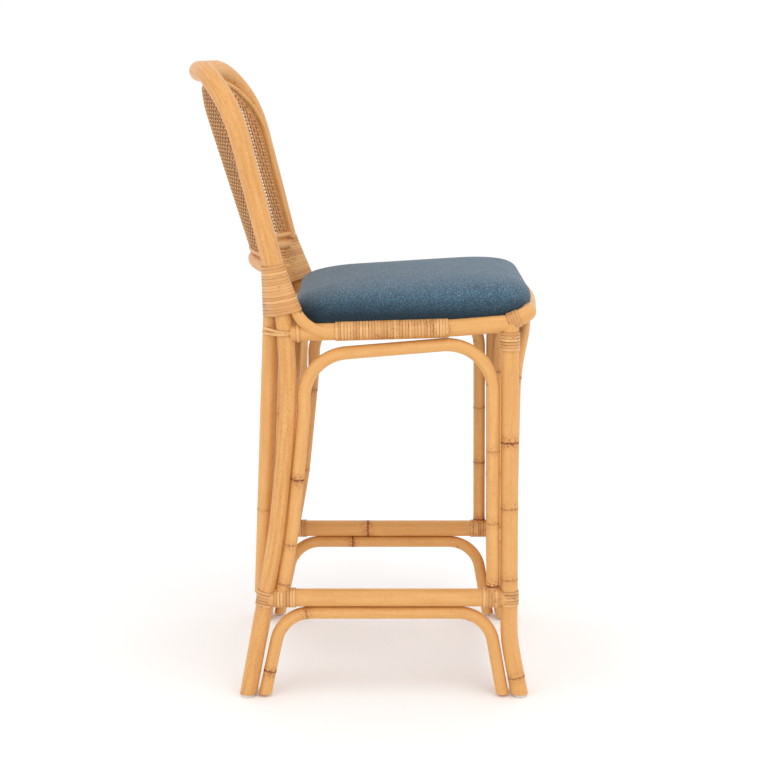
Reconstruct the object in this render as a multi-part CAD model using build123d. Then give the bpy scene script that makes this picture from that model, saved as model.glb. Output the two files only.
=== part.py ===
from build123d import *
import os

# Rattan bar stool with a caned back, an upholstered seat and a footrest ring.
# Millimetres, +Z up, the sitter faces -Y, +X is the sitter's left.
# Every pole is a round rod swept along straight runs joined by tangent arcs.

# ---------------------------------------------------------------- overall sizes
overall_height = 1090.0      # floor to the top of the back hoop
side_spacing = 440.0         # between the centre planes of the two side frames
leg_spacing = 369.5          # front leg axis to the waist of the rear leg
seat_height = 650.0          # axis of the side seat rail at the middle of the seat
footrest_height = 179.0      # axis of the stretcher ring

# ---------------------------------------------------------------- pole diameters
hoop_d = 34.6
front_leg_d = 30.0
rear_leg_d = 29.0
stay_d = 28.5
side_rail_d = 29.0
front_rail_d = 27.0
rear_rail_d = 27.0
arch_d = 22.5
lower_arch_d = 22.0
stretcher_d = 31.0
brace_d = 20.0
inner_hoop_d = 10.6
inner_rail_d = 9.6
cross_rail_d = 22.0

# ---------------------------------------------------------------- clearances
fit = 0.3                    # between a coped end and the pole that it meets
pole_gap = 0.6               # between two poles that run side by side
wrap_thickness = 1.6         # a layer of binding cane
wrap_gap = 0.15              # between the binding and the poles inside it
cope_share = 0.6             # a butted pole stops at this share of the other's radius

# ---------------------------------------------------------------- front legs
front_y = -246.0             # front leg axis at the seat
front_ankle_height = 105.0
front_ankle_reach = 5.0      # how far the ankle stands in front of the leg's top
front_foot_reach = 25.5
front_leg_bend = 300.0

# ---------------------------------------------------------------- rear legs and back posts
waist_drop = 100.0           # from the seat rail's axis down to the rear leg's waist
rear_ankle_rise = 111.0      # from the stretcher up to the start of the foot's sweep
rear_ankle_reach = 26.5
rear_foot_reach = 80.5
waist_bend = 1000.0
rear_ankle_bend = 1500.0
joint_rise = 50.0            # from the seat rail's axis up to the joint of leg and post
joint_reach = 13.5
joint_overlap = 12.0         # spare length at the joint before it is cut level
back_lean = 0.246            # rearward travel of the post for each unit of height
stay_top_reach = 31.5        # rear stay's top, behind the waist of the leg
stay_foot_reach = 54.0
joint_dowel_d = 10.0
joint_dowel_length = 56.0

# ---------------------------------------------------------------- back hoop and panel
drawn_spacing = 440.0        # side spacing that the bows and corners from here on are drawn for
hoop_corner = 69.0           # height and width cut from the square corner of the hoop
hoop_corner_bend = 125.0
hoop_shoulder_bow = 31.5     # rearward bow where the corner meets the top
hoop_crown_bow = 71.3
hoop_crown_bend = 324.0
inner_setback = -9.0         # the thin hoop's axis, behind the post's axis
inner_corner = 58.0
inner_corner_bend = 104.0
inner_shoulder_bow = 27.0
inner_crown_bow = 76.0
inner_crown_bend = 330.0
inner_foot_rise = 108.5      # thin hoop's lower end, above the seat rail's axis
inner_rail_rise = 115.0
inner_rail_bow = 49.0
panel_edge_setback = -6.0    # the weave's side edges, behind the post's axis
panel_low_bow = 50.5
panel_top_bow = 69.5
panel_corner = 96.0
panel_thickness = 2.4
panel_gap = 0.3
cross_rail_rise = 96.5
cross_rail_bow = 48.5

# ---------------------------------------------------------------- seat rails
rail_rear_drop = 7.3         # side rail's rear end below its middle
rail_bend_reach = 96.0       # from the front leg back to the rail's bend
rail_bend_rise = 1.0
rail_front_rise = 8.5
rail_front_reach = 6.0
rail_end_round = 7.0
rail_bend = 500.0
front_rail_start = 3.4       # where the front rail's arm starts, behind the front leg's axis
front_rail_low = 10.5
front_rail_high = 24.5
front_rail_reach = 30.0
front_rail_bow = 16.5
front_rail_corner = 27.0
front_rail_crown = 900.0
rear_rail_setback = 0.5
rail_dowel_d = 8.0
rail_dowel_length = 30.0

# ---------------------------------------------------------------- knee braces
brace_offset = 9.0           # outward from the side frame's plane
brace_top_rise = 92.0
brace_top_reach = 15.5
brace_bend_reach = 26.0
brace_tail = 186.0
brace_bend = 60.0

# ---------------------------------------------------------------- upper arches
arch_rear_drop = 47.5        # side arch's rear corner below the seat rail's axis
arch_front_drop = 20.5
arch_rear_reach = 20.5
arch_corner = 79.0
arch_kink_drop = 140.0
arch_kink_bend = 150.0
arch_front_gap = 2.0         # between the front leg and the side arch
arch_lean = 4.0
front_arch_shoulder = 80.0   # below the seat rail's axis
front_arch_top = 2.0
front_arch_reach = 33.0
front_arch_foot_reach = 7.0
front_arch_shoulder_reach = 10.0
front_arch_run = 68.0
front_arch_bend = 100.0
rear_arch_shoulder = 102.0
rear_arch_top = 32.5
rear_arch_run = 62.0
rear_arch_foot_reach = 44.5
rear_arch_shoulder_reach = -2.5
rear_arch_bend = 88.0

# ---------------------------------------------------------------- lower arches
lower_corner = 62.0
lower_rear_foot_reach = 51.0
lower_rear_corner_reach = 18.5
lower_front_corner_reach = 32.0
lower_front_foot_reach = 4.5
front_lower_foot_reach = 22.0
front_lower_top_reach = 6.0
rear_lower_foot_reach = 76.5
rear_lower_top_reach = 47.5

# ---------------------------------------------------------------- feet
glide_d = 21.0
glide_height = 5.0
glide_edge = 1.2
glide_nail_d = 3.0
glide_nail_length = 14.0

# ---------------------------------------------------------------- binding
post_wrap_top_rise = 111.0
post_wrap_low_rise = 28.0
post_wrap_top_tilt = 8.0
post_wrap_low_tilt = 14.0
post_wrap_top_spread = 0.8   # keeps the three corners of the band's section at its round top
post_wrap_rear_spare = 2.0   # room behind the rear leg at the band's lower edge
post_wrap_brace_reach = 9.0  # the brace's axis at the lower edge, in front of the leg's waist
rail_wrap_rear = 294.0       # side rail's binding, behind the front leg's axis
rail_wrap_front = 104.0
saddle_wrap_length = 25.0
leg_wrap_top_drop = 5.0
leg_wrap_low_drop = 37.0
collar_height = 27.0
sleeve_length_rear = 38.0
sleeve_length_front = 31.0
sleeve_length_cross = 26.0
tie_drop = 6.0
tie_height = 5.0

# ---------------------------------------------------------------- seat
board_thickness = 9.0
board_slope = 1.8            # degrees, the front is the higher edge
board_side_inset = 5.5       # board's side edge, inside the side frame's plane
board_rear_inset = 11.5      # board's rear edge, in front of the rear leg's waist
board_front_reach = 14.0
board_corner = 46.0
cushion_slope = 3.4          # degrees, slope of the cushion's top
cushion_side_inset = 3.0
cushion_rear_inset = 0.5
cushion_front_reach = 43.0
cushion_corner = 66.0
cushion_height = 58.0
cushion_round = 42.0
cover_thickness = 1.5
foam_gap = 0.2
seat_clear = 2.2
dust_cover_thickness = 0.8
dust_cover_inset = 14.0
screw_d = 4.0
screw_head_d = 8.0
screw_head_height = 2.5
screw_recess = 1.0
screw_bite = 7.0             # how far a seat screw goes into the board
screw_inset = 10.0           # seat screws, inside the side frame's plane
rear_screw_reach = 45.0      # in front of the rear leg's waist
front_screw_reach = 60.0     # behind the front leg's axis

room = 3000.0                # larger than the stool, for trimming boxes

# ---------------------------------------------------------------- worked-out places
side_x = side_spacing / 2
back_share = side_spacing / drawn_spacing   # widens or narrows the bows and corners
rear_y = front_y + leg_spacing
middle_y = (front_y + rear_y) / 2
hoop_top = overall_height - hoop_d / 2
joint_height = seat_height + joint_rise
skin = wrap_thickness + wrap_gap
ring_skin = 2 * (skin + wrap_gap)
ring_top = footrest_height + stretcher_d / 2 + skin
lower_arch_height = footrest_height - (stretcher_d + lower_arch_d) / 2 - pole_gap
front_inner_x = side_x - (front_leg_d + arch_d) / 2 - pole_gap
stay_x = side_x - (rear_leg_d + stay_d) / 2 - pole_gap
rear_inner_x = stay_x - (stay_d + arch_d) / 2 - pole_gap
inner_x = side_x - (hoop_d + inner_hoop_d) / 2 - pole_gap
inner_top = hoop_top - (hoop_d + inner_hoop_d) / 2 - pole_gap
inner_foot = seat_height + inner_foot_rise
inner_rail_height = seat_height + inner_rail_rise
cross_rail_height = seat_height + cross_rail_rise
rail_rear_height = seat_height - rail_rear_drop
screw_x = side_x - screw_inset
screw_rail_half = ((side_rail_d / 2) ** 2 - screw_inset ** 2) ** 0.5


def post_y(height):
    """Depth of the leaning back post's axis at a height."""
    return rear_y + joint_reach + back_lean * (height - joint_height)


def front_leg_y(height):
    """Depth of the front leg's axis above its ankle."""
    share = (seat_height - height) / (seat_height - front_ankle_height)
    return front_y - front_ankle_reach * share


def rear_leg_y(height):
    """Depth of the rear leg's axis, by the straight runs that it follows."""
    waist = seat_height - waist_drop
    ankle = footrest_height + rear_ankle_rise
    if height > waist:
        return rear_y + joint_reach * (height - waist) / (joint_height - waist)
    if height > ankle:
        return rear_y + rear_ankle_reach * (waist - height) / (waist - ankle)
    sweep_reach = rear_foot_reach - rear_ankle_reach
    return rear_y + rear_ankle_reach + sweep_reach * (ankle - height) / ankle


# ---------------------------------------------------------------- solid helpers
def rod(points, bends, diameter):
    """A round pole along straight runs, with one bend radius for each corner."""
    line = FilletPolyline(*points, radius=bends) if bends else Line(*points)
    start = Plane(origin=line @ 0, z_dir=line % 0)
    return sweep(start * Circle(diameter / 2), path=line)


def bowed_rod(end, middle, diameter):
    """A pole on one arc from a point on the left to its mirror image on the right."""
    far_end = (-end[0], end[1], end[2])
    line = ThreePointArc(end, middle, far_end)
    start = Plane(origin=line @ 0, z_dir=line % 0)
    return sweep(start * Circle(diameter / 2), path=line)


def mirrored(points):
    """The points, then their mirror images back to the start, for a hoop or an arch."""
    back = [(-x, y, z) for x, y, z in reversed(points) if x != 0]
    return list(points) + back


def layer(low, high):
    """Everything between two heights."""
    return Pos(0, 0, (low + high) / 2) * Box(room, room, high - low)


def slice_y(rear, front):
    """Everything between two depths."""
    return Pos(0, (rear + front) / 2, 0) * Box(room, abs(rear - front), room)


def span_x(inner, outer):
    """Everything between two distances to the left."""
    return Pos((inner + outer) / 2, 0, 0) * Box(abs(outer - inner), room, room)


def largest(shape):
    """The biggest solid of a cut shape, without the crumbs of a coped end."""
    return shape.solids().sort_by(SortBy.VOLUME)[-1]


def both(shape):
    """The left piece and its mirror image on the right."""
    return shape + mirror(shape, about=Plane.YZ)


# ---------------------------------------------------------------- poles of the left side
def back_hoop(grow=0.0):
    shoulder = hoop_top - back_share * hoop_corner
    low = joint_height - joint_overlap
    points = mirrored([
        (side_x, post_y(low), low),
        (side_x, post_y(shoulder), shoulder),
        (side_x - back_share * hoop_corner, post_y(hoop_top) + back_share * hoop_shoulder_bow, hoop_top),
        (0, post_y(hoop_top) + back_share * hoop_crown_bow, hoop_top),
    ])
    corner = back_share * hoop_corner_bend
    hoop = rod(points, [corner, corner, back_share * hoop_crown_bend, corner, corner], hoop_d + grow)
    return hoop & layer(joint_height, overall_height + room / 2)


def rear_leg(grow=0.0):
    waist = seat_height - waist_drop
    ankle = footrest_height + rear_ankle_rise
    top = joint_height + joint_overlap
    foot_slope = (rear_foot_reach - rear_ankle_reach) / ankle
    points = [
        (side_x, rear_y + rear_foot_reach + foot_slope * joint_overlap, -joint_overlap),
        (side_x, rear_y + rear_ankle_reach, ankle),
        (side_x, rear_y, waist),
        (side_x, rear_leg_y(top), top),
    ]
    leg = rod(points, [rear_ankle_bend, waist_bend], rear_leg_d + grow)
    return leg & layer(glide_height, joint_height)


def rear_stay(grow=0.0):
    low = ring_top - joint_overlap
    points = [
        (stay_x, rear_y + stay_foot_reach, low),
        (stay_x, rear_y + stay_top_reach, joint_height + joint_overlap),
    ]
    stay = rod(points, None, stay_d + grow)
    stay = stay & layer(footrest_height, joint_height + joint_overlap / 2)
    return largest(stay - rear_stretcher(ring_skin))


def front_leg(grow=0.0):
    foot_slope = (front_foot_reach - front_ankle_reach) / front_ankle_height
    top = seat_height + front_rail_low
    points = [
        (side_x, front_leg_y(top), top),
        (side_x, front_y - front_ankle_reach, front_ankle_height),
        (side_x, front_y - front_foot_reach - foot_slope * joint_overlap, -joint_overlap),
    ]
    leg = rod(points, [front_leg_bend], front_leg_d + grow)
    return leg & layer(glide_height, top)


def side_rail_points():
    butt = rear_leg_y(rail_rear_height) - cope_share * rear_leg_d / 2
    return [
        (side_x, butt, rail_rear_height),
        (side_x, front_y + rail_bend_reach, seat_height + rail_bend_rise),
        (side_x, front_y + rail_front_reach, seat_height + rail_front_rise),
    ]


def side_rail(grow=0.0):
    rail = rod(side_rail_points(), [rail_bend], side_rail_d + grow)
    front_edge = rail.edges().sort_by(Axis.Y)[0]
    rail = fillet(front_edge, rail_end_round)
    return largest(rail - rear_leg(2 * fit))


def front_rail(grow=0.0):
    high = seat_height + front_rail_high
    points = mirrored([
        (side_x, front_y + front_rail_start, seat_height + front_rail_low),
        (side_x, front_y - front_rail_reach, high),
        (0, front_y - front_rail_reach - back_share * front_rail_bow, high),
    ])
    bends = [front_rail_corner, back_share * front_rail_crown, front_rail_corner]
    return rod(points, bends, front_rail_d + grow)


def rear_rail(grow=0.0):
    butt = side_x - cope_share * rear_leg_d / 2
    depth = rear_y - rear_rail_setback
    points = [(butt, depth, rail_rear_height), (-butt, depth, rail_rear_height)]
    return rod(points, None, rear_rail_d + grow)


def brace_points():
    x = side_x + brace_offset
    rear, bend = side_rail_points()[:2]
    slope = (bend[2] - rear[2]) / (rear[1] - bend[1])
    corner_y = rear_y - brace_bend_reach
    corner_z = rail_rear_height + slope * (rear[1] - corner_y)
    tail_y = corner_y - brace_tail
    return [
        (x, rear_y + brace_top_reach, seat_height + brace_top_rise),
        (x, corner_y, corner_z),
        (x, tail_y, corner_z + slope * brace_tail),
    ]


def knee_brace(grow=0.0):
    return rod(brace_points(), [brace_bend], brace_d + grow)


def side_arch(grow=0.0):
    beside_leg = (rear_leg_d + arch_d) / 2 + pole_gap
    low = ring_top - joint_overlap
    ankle = footrest_height + rear_ankle_rise
    kink = seat_height - arch_kink_drop
    front_x = (front_leg_d + arch_d) / 2 + arch_front_gap
    points = [
        (side_x, rear_leg_y(low) - beside_leg, low),
        (side_x, rear_leg_y(ankle) - beside_leg, ankle),
        (side_x, rear_leg_y(kink) - beside_leg, kink),
        (side_x, rear_y - arch_rear_reach, seat_height - arch_rear_drop),
        (side_x, front_y + front_x, seat_height - arch_front_drop),
        (side_x, front_y + front_x - arch_lean, low),
    ]
    bends = [rear_ankle_bend / 2, arch_kink_bend, arch_corner, arch_corner]
    arch = rod(points, bends, arch_d + grow) & layer(footrest_height, seat_height)
    return largest(arch - side_stretcher(ring_skin))


def front_arch(grow=0.0):
    low = ring_top - joint_overlap
    foot_y = front_y - front_arch_foot_reach
    points = mirrored([
        (front_inner_x, foot_y, low),
        (front_inner_x, front_y - front_arch_shoulder_reach, seat_height - front_arch_shoulder),
        (front_inner_x - front_arch_run, front_y - front_arch_reach, seat_height - front_arch_top),
    ])
    arch = rod(points, [front_arch_bend] * 4, arch_d + grow)
    return largest((arch & layer(footrest_height, overall_height)) - front_footrest(ring_skin))


def rear_arch(grow=0.0):
    low = ring_top - joint_overlap
    points = mirrored([
        (rear_inner_x, rear_y + rear_arch_foot_reach, low),
        (rear_inner_x, rear_y + rear_arch_shoulder_reach, seat_height - rear_arch_shoulder),
        (rear_inner_x - rear_arch_run, rear_y + rear_arch_shoulder_reach, seat_height - rear_arch_top),
    ])
    arch = rod(points, [rear_arch_bend] * 4, arch_d + grow)
    return largest((arch & layer(footrest_height, overall_height)) - rear_stretcher(ring_skin))


def side_stretcher(grow=0.0):
    rear_end = rear_leg_y(footrest_height) - cope_share * rear_leg_d / 2
    front_end = front_leg_y(footrest_height) + cope_share * front_leg_d / 2
    points = [(side_x, rear_end, footrest_height), (side_x, front_end, footrest_height)]
    return rod(points, None, stretcher_d + grow)


def cross_stretcher(depth, leg_d, grow=0.0):
    end = side_x - cope_share * leg_d / 2
    points = [(end, depth, footrest_height), (-end, depth, footrest_height)]
    return rod(points, None, stretcher_d + grow)


def front_footrest(grow=0.0):
    return cross_stretcher(front_leg_y(footrest_height), front_leg_d, grow)


def rear_stretcher(grow=0.0):
    return cross_stretcher(rear_leg_y(footrest_height), rear_leg_d, grow)


def lower_side_arch():
    points = [
        (side_x, rear_y + lower_rear_foot_reach, 0),
        (side_x, rear_y + lower_rear_corner_reach, lower_arch_height),
        (side_x, front_y + lower_front_corner_reach, lower_arch_height),
        (side_x, front_y + lower_front_foot_reach, 0),
    ]
    arch = rod(points, [lower_corner] * 2, lower_arch_d)
    return arch & layer(glide_height, footrest_height)


def lower_cross_arch(foot_y, top_y, leg_d):
    x = side_x - (leg_d + lower_arch_d) / 2 - pole_gap
    points = mirrored([(x, foot_y, 0), (x, top_y, lower_arch_height)])
    arch = rod(points, [lower_corner] * 2, lower_arch_d)
    return arch & layer(glide_height, footrest_height)


# ---------------------------------------------------------------- back panel
def inner_hoop(grow=0.0):
    shoulder = inner_top - back_share * inner_corner
    points = mirrored([
        (inner_x, post_y(inner_foot) + inner_setback, inner_foot),
        (inner_x, post_y(shoulder) + inner_setback, shoulder),
        (inner_x - back_share * inner_corner,
         post_y(inner_top) + back_share * inner_shoulder_bow, inner_top),
        (0, post_y(inner_top) + back_share * inner_crown_bow, inner_top),
    ])
    corner = back_share * inner_corner_bend
    bends = [corner, corner, back_share * inner_crown_bend, corner, corner]
    return rod(points, bends, inner_hoop_d + grow)


def inner_rail():
    depth = post_y(inner_rail_height)
    end = (inner_x, depth + inner_setback, inner_rail_height)
    middle = (0, depth + back_share * inner_rail_bow, inner_rail_height)
    return largest(bowed_rod(end, middle, inner_rail_d) - inner_hoop(2 * fit))


def cross_rail(grow=0.0):
    depth = post_y(cross_rail_height)
    end = (side_x - cope_share * hoop_d / 2, depth, cross_rail_height)
    middle = (0, depth + back_share * cross_rail_bow, cross_rail_height)
    return bowed_rod(end, middle, cross_rail_d + grow)


def curved_strip(height, bow):
    """The panel's section at a height, curved in plan and as thick as the weave."""
    half = panel_thickness / 2
    edge = post_y(height) + panel_edge_setback
    middle = post_y(height) + bow
    front = ThreePointArc((-inner_x, edge - half), (0, middle - half), (inner_x, edge - half))
    rear = ThreePointArc((-inner_x, edge + half), (0, middle + half), (inner_x, edge + half))
    right = Line(front @ 0, rear @ 0)
    left = Line(front @ 1, rear @ 1)
    return Pos(0, 0, height) * make_face([front, rear, right, left])


def cane_panel():
    low_section = curved_strip(inner_foot, back_share * panel_low_bow)
    sections = [low_section, curved_strip(inner_top, back_share * panel_top_bow)]
    sheet = loft(sections, ruled=True)
    low = inner_rail_height + inner_rail_d / 2 + panel_gap
    high = inner_top - inner_hoop_d / 2 - panel_gap
    half_width = inner_x - inner_hoop_d / 2 - panel_gap
    outline = Pos(0, (low + high) / 2) * Rectangle(2 * half_width, high - low)
    top_corners = outline.vertices().group_by(Axis.Y)[-1]
    outline = fillet(top_corners, back_share * panel_corner)
    window = extrude(Plane.XZ * outline, amount=room, both=True)
    return largest((sheet & window) - inner_hoop(2 * panel_gap))


# ---------------------------------------------------------------- binding
def bundle_section(height, tilt, spots):
    """The outline of a band pulled tight round several round poles."""
    plane = Plane(origin=(side_x, rear_y, height)).rotated((-tilt, 0, 0))
    edges = ShapeList()
    for x, y, radius in spots:
        edges += (Pos(x - side_x, y - rear_y) * Circle(radius)).edges()
    return plane * make_hull(edges)


def post_bundle(grow=0.0):
    """The tapered outer form of the binding at the foot of a back post."""
    top = seat_height + post_wrap_top_rise
    low = seat_height + post_wrap_low_rise
    cover = skin + grow
    top_y = post_y(top)
    spread = post_wrap_top_spread
    top_radius = hoop_d / 2 + cover - spread
    top_section = bundle_section(top, post_wrap_top_tilt, [
        (side_x, top_y + spread, top_radius),
        (side_x - spread, top_y, top_radius),
        (side_x + spread, top_y - spread, top_radius),
    ])
    low_section = bundle_section(low, post_wrap_low_tilt, [
        (side_x, rear_leg_y(low) + post_wrap_rear_spare, rear_leg_d / 2 + cover),
        (stay_x, rear_y + stay_top_reach, stay_d / 2 + cover),
        (side_x + brace_offset, rear_y - post_wrap_brace_reach, brace_d / 2 + cover),
    ])
    return loft([top_section, low_section], ruled=True)


def shaved_brace(grow=0.0):
    """The knee brace, its upper end shaved down to lie under the post's binding."""
    whole = knee_brace(grow)
    below = whole & layer(0, seat_height + post_wrap_low_rise)
    return below + (whole & post_bundle(grow / 2 - skin))


def post_wrap():
    inside = [back_hoop(2 * wrap_gap), rear_leg(2 * wrap_gap), rear_stay(2 * wrap_gap),
              shaved_brace(2 * wrap_gap), cross_rail(2 * wrap_gap)]
    return largest(post_bundle() - inside)


def rail_wrap():
    """One band round the side rail and the tail of the knee brace beside it."""
    rear, bend = side_rail_points()[:2]
    rear = Vector(*rear)
    along = (Vector(*bend) - rear).normalized()
    start = rear + along * ((rear.Y - front_y - rail_wrap_rear) / -along.Y)
    length = (rail_wrap_rear - rail_wrap_front) / -along.Y
    plane = Plane(origin=start, x_dir=(1, 0, 0), z_dir=along)
    edges = Circle(side_rail_d / 2 + skin).edges()
    edges += (Pos(brace_offset, 0) * Circle(brace_d / 2 + skin)).edges()
    band = extrude(plane * make_hull(edges), amount=length)
    return largest(band - side_rail(2 * wrap_gap) - knee_brace(2 * wrap_gap))


def saddle_wrap():
    """The band round the front rail's arm, over the top of the front leg."""
    rear = front_y + front_rail_start
    band = front_rail(2 * skin) & slice_y(rear, rear - saddle_wrap_length)
    band = band & span_x(side_x - front_rail_d, side_x + front_rail_d)
    inside = [front_rail(2 * wrap_gap), front_leg(2 * skin), side_rail(2 * wrap_gap)]
    return largest(band - inside)


def leg_wrap():
    low = seat_height - leg_wrap_low_drop
    band = front_leg(2 * skin) & layer(low, seat_height - leg_wrap_top_drop)
    inside = [front_leg(2 * wrap_gap), front_rail(2 * skin), side_rail(2 * wrap_gap)]
    return largest(band - inside)


def ring_wrap(leg, stretcher, leg_y, sleeve_end, leg_d):
    """The collar round a leg with a sleeve on each of the two stretchers that meet it."""
    half = collar_height / 2
    collar = leg(2 * skin) & layer(footrest_height - half, footrest_height + half)
    side_sleeve = side_stretcher(2 * skin) & slice_y(leg_y, sleeve_end)
    inner_end = side_x - leg_d / 2 - sleeve_length_cross
    cross_sleeve = stretcher(2 * skin) & span_x(inner_end, side_x)
    inside = [leg(2 * wrap_gap), side_stretcher(2 * wrap_gap), stretcher(2 * wrap_gap)]
    return largest(collar + side_sleeve + cross_sleeve - inside)


def rear_ring_wrap():
    leg_y = rear_leg_y(footrest_height)
    end = leg_y - rear_leg_d / 2 - sleeve_length_rear
    return ring_wrap(rear_leg, rear_stretcher, leg_y, end, rear_leg_d)


def front_ring_wrap():
    leg_y = front_leg_y(footrest_height)
    end = leg_y + front_leg_d / 2 + sleeve_length_front
    return ring_wrap(front_leg, front_footrest, leg_y, end, front_leg_d)


def rear_tie():
    """The loose strip that ties the rear leg to the stay behind the seat rails."""
    height = seat_height - tie_drop
    edges = ShapeList()
    for x, y, diameter in [(side_x, rear_leg_y(height), rear_leg_d),
                           (stay_x, rear_y + stay_top_reach, stay_d)]:
        edges += (Pos(x, y) * Circle(diameter / 2 + 2 * skin)).edges()
    band = extrude(Pos(0, 0, height - tie_height / 2) * make_hull(edges), amount=tie_height)
    inside = [rear_leg(2 * wrap_gap), rear_stay(2 * wrap_gap), side_rail(2 * wrap_gap),
              rear_rail(2 * wrap_gap)]
    return largest(band - inside)


# ---------------------------------------------------------------- hidden fasteners and feet
def rod_between(start, end, diameter):
    return rod([start, end], None, diameter)


def joint_dowel(grow=0.0):
    """The pin inside the joint of rear leg and back post."""
    reach = joint_dowel_length / 2
    centre_y = rear_y + joint_reach
    low = (side_x, rear_leg_y(joint_height - reach), joint_height - reach)
    high = (side_x, 2 * centre_y - rear_leg_y(joint_height - reach), joint_height + reach)
    return rod_between(low, high, joint_dowel_d + grow)


def rail_dowel(grow=0.0):
    """The pin between the side rail's front end and the front rail's arm."""
    middle = front_y + (rail_front_reach + front_rail_start) / 2
    height = seat_height + (rail_front_rise + front_rail_low) / 2
    half = rail_dowel_length / 2
    start = (side_x, middle + half, height)
    end = (side_x, middle - half, height)
    return rod_between(start, end, rail_dowel_d + grow)


def rail_axis_height(depth):
    """Height of the side rail's axis at a depth behind its bend."""
    rear, bend = side_rail_points()[:2]
    return rear[2] + (bend[2] - rear[2]) * (rear[1] - depth) / (rear[1] - bend[1])


def board_plane(rise=0.0):
    """The plane of the seat board's underside, raised by a distance."""
    base = rail_axis_height(middle_y) + side_rail_d / 2 + fit + rise
    return Plane(origin=(0, middle_y, base)).rotated((-board_slope, 0, 0))


def seat_screw(depth, grow=0.0):
    """A countersunk screw from below the side rail up into the seat board."""
    low = rail_axis_height(depth) - screw_rail_half + screw_recess
    top = rail_axis_height(depth) + side_rail_d / 2 + screw_bite
    head = Pos(screw_x, depth, low) * Cone(
        (screw_head_d + grow) / 2, (screw_d + grow) / 2, screw_head_height,
        align=(Align.CENTER, Align.CENTER, Align.MIN))
    neck = (screw_x, depth, low + screw_head_height)
    shank = rod_between(neck, (screw_x, depth, top), screw_d + grow)
    return head + shank


def screw_path(depth):
    """The hole for a seat screw, with its countersink open below."""
    low = rail_axis_height(depth) - screw_rail_half + screw_recess
    mouth = rod_between((screw_x, depth, low - side_rail_d), (screw_x, depth, low),
                        screw_head_d + 2 * fit)
    return seat_screw(depth, 2 * fit) + mouth


def glide(x, y):
    """A round foot with its nail, both under a leg."""
    disc = Pos(x, y, 0) * Cylinder(glide_d / 2, glide_height,
                                   align=(Align.CENTER, Align.CENTER, Align.MIN))
    disc = fillet(disc.edges().group_by(Axis.Z)[0], glide_edge)
    nail = rod_between((x, y, glide_height / 2), (x, y, glide_height + glide_nail_length), glide_nail_d)
    return disc + nail


def nail_hole(x, y):
    top = glide_height + glide_nail_length + fit
    return rod_between((x, y, 0), (x, y, top), glide_nail_d + 2 * fit)


# ---------------------------------------------------------------- seat
def plan(half_width, rear, front, corner):
    """A rounded outline between two depths, given from the middle of the seat."""
    outline = Pos(0, (rear + front) / 2) * Rectangle(2 * half_width, rear - front)
    return fillet(outline.vertices(), corner)


def seat_outline(grow=0.0):
    """The seat board's outline, larger all round by a margin."""
    rear = rear_y - board_rear_inset - middle_y + grow
    front = front_y - board_front_reach - middle_y - grow
    return plan(side_x - board_side_inset + grow, rear, front, board_corner + grow)


def seat_board():
    return extrude(board_plane() * seat_outline(), amount=board_thickness)


def cushion_body(inset, rise=0.0):
    """The cushion's form, smaller all round by an inset and cut off below a height."""
    rear = rear_y - cushion_rear_inset - middle_y - inset
    front = front_y - cushion_front_reach - middle_y + inset
    outline = plan(side_x - cushion_side_inset - inset, rear, front, cushion_corner - inset)
    tilted = board_plane().rotated((board_slope - cushion_slope, 0, 0))
    body = extrude(tilted * outline, amount=cushion_height - inset)
    body = body + extrude(tilted * outline, amount=-cushion_height)
    top = body.faces().sort_by(Axis.Z)[-1]
    body = fillet(top.edges(), cushion_round - inset)
    below = board_plane(rise) * Pos(0, 0, -room / 2) * Box(room, room, room)
    body = body - below - both(post_bundle(2 * seat_clear))
    clear = 2 * (seat_clear + inset)
    rails = [front_rail(clear), both(knee_brace(clear)), both(side_rail(clear)),
             rear_rail(2 * (fit + inset))]
    return largest(body - rails)


def seat_foam():
    return cushion_body(cover_thickness + foam_gap, board_thickness + foam_gap)


def seat_cover():
    """The fabric cover: a cap over the foam, open below where the board closes it."""
    hollow = cushion_body(cover_thickness)
    skirt = hollow.faces().filter_by(GeomType.PLANE).sort_by(Axis.Z)[0]
    mouth = extrude(skirt, amount=cover_thickness + foam_gap)
    board = extrude(board_plane(-foam_gap) * seat_outline(foam_gap), amount=board_thickness + 2 * foam_gap)
    return largest(cushion_body(0) - hollow - mouth - board)


def dust_cover():
    rear = rear_y - board_rear_inset - dust_cover_inset - middle_y
    front = front_y + dust_cover_inset - middle_y
    half_width = side_x - board_side_inset - dust_cover_inset
    outline = plan(half_width, rear, front, board_corner - dust_cover_inset)
    return extrude(board_plane(-wrap_gap) * outline, amount=-dust_cover_thickness)


# ---------------------------------------------------------------- finished pieces
rear_screw_y = rear_y - rear_screw_reach
front_screw_y = front_y + front_screw_reach
rear_glide_y = rear_leg_y(glide_height)
front_slope = (front_foot_reach - front_ankle_reach) / front_ankle_height
front_glide_y = front_y - front_foot_reach + front_slope * glide_height


def finished_side_rail():
    holes = [screw_path(rear_screw_y), screw_path(front_screw_y), rail_dowel(2 * wrap_gap)]
    return largest(side_rail() - holes)


def finished_brace():
    poles = [side_rail(2 * fit), back_hoop(2 * fit), rear_leg(2 * fit)]
    return largest(shaved_brace() - poles)


def finished_front_leg():
    holes = [side_rail(2 * fit), front_rail(2 * fit), rail_dowel(2 * wrap_gap),
             nail_hole(side_x, front_glide_y)]
    return largest(front_leg() - holes)


def finished_rear_leg():
    return largest(rear_leg() - joint_dowel(2 * wrap_gap) - nail_hole(side_x, rear_glide_y))


def finished_hoop():
    return largest(back_hoop() - both(joint_dowel(2 * wrap_gap)))


def finished_front_rail():
    return largest(front_rail() - both(rail_dowel(2 * wrap_gap)))


def finished_rear_rail():
    return largest(rear_rail() - both(rear_leg(2 * fit) + side_rail(2 * fit)))


def finished_cross_rail():
    return largest(cross_rail() - back_hoop(2 * fit))


def finished_side_stretcher():
    return largest(side_stretcher() - rear_leg(2 * fit) - front_leg(2 * fit))


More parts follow.
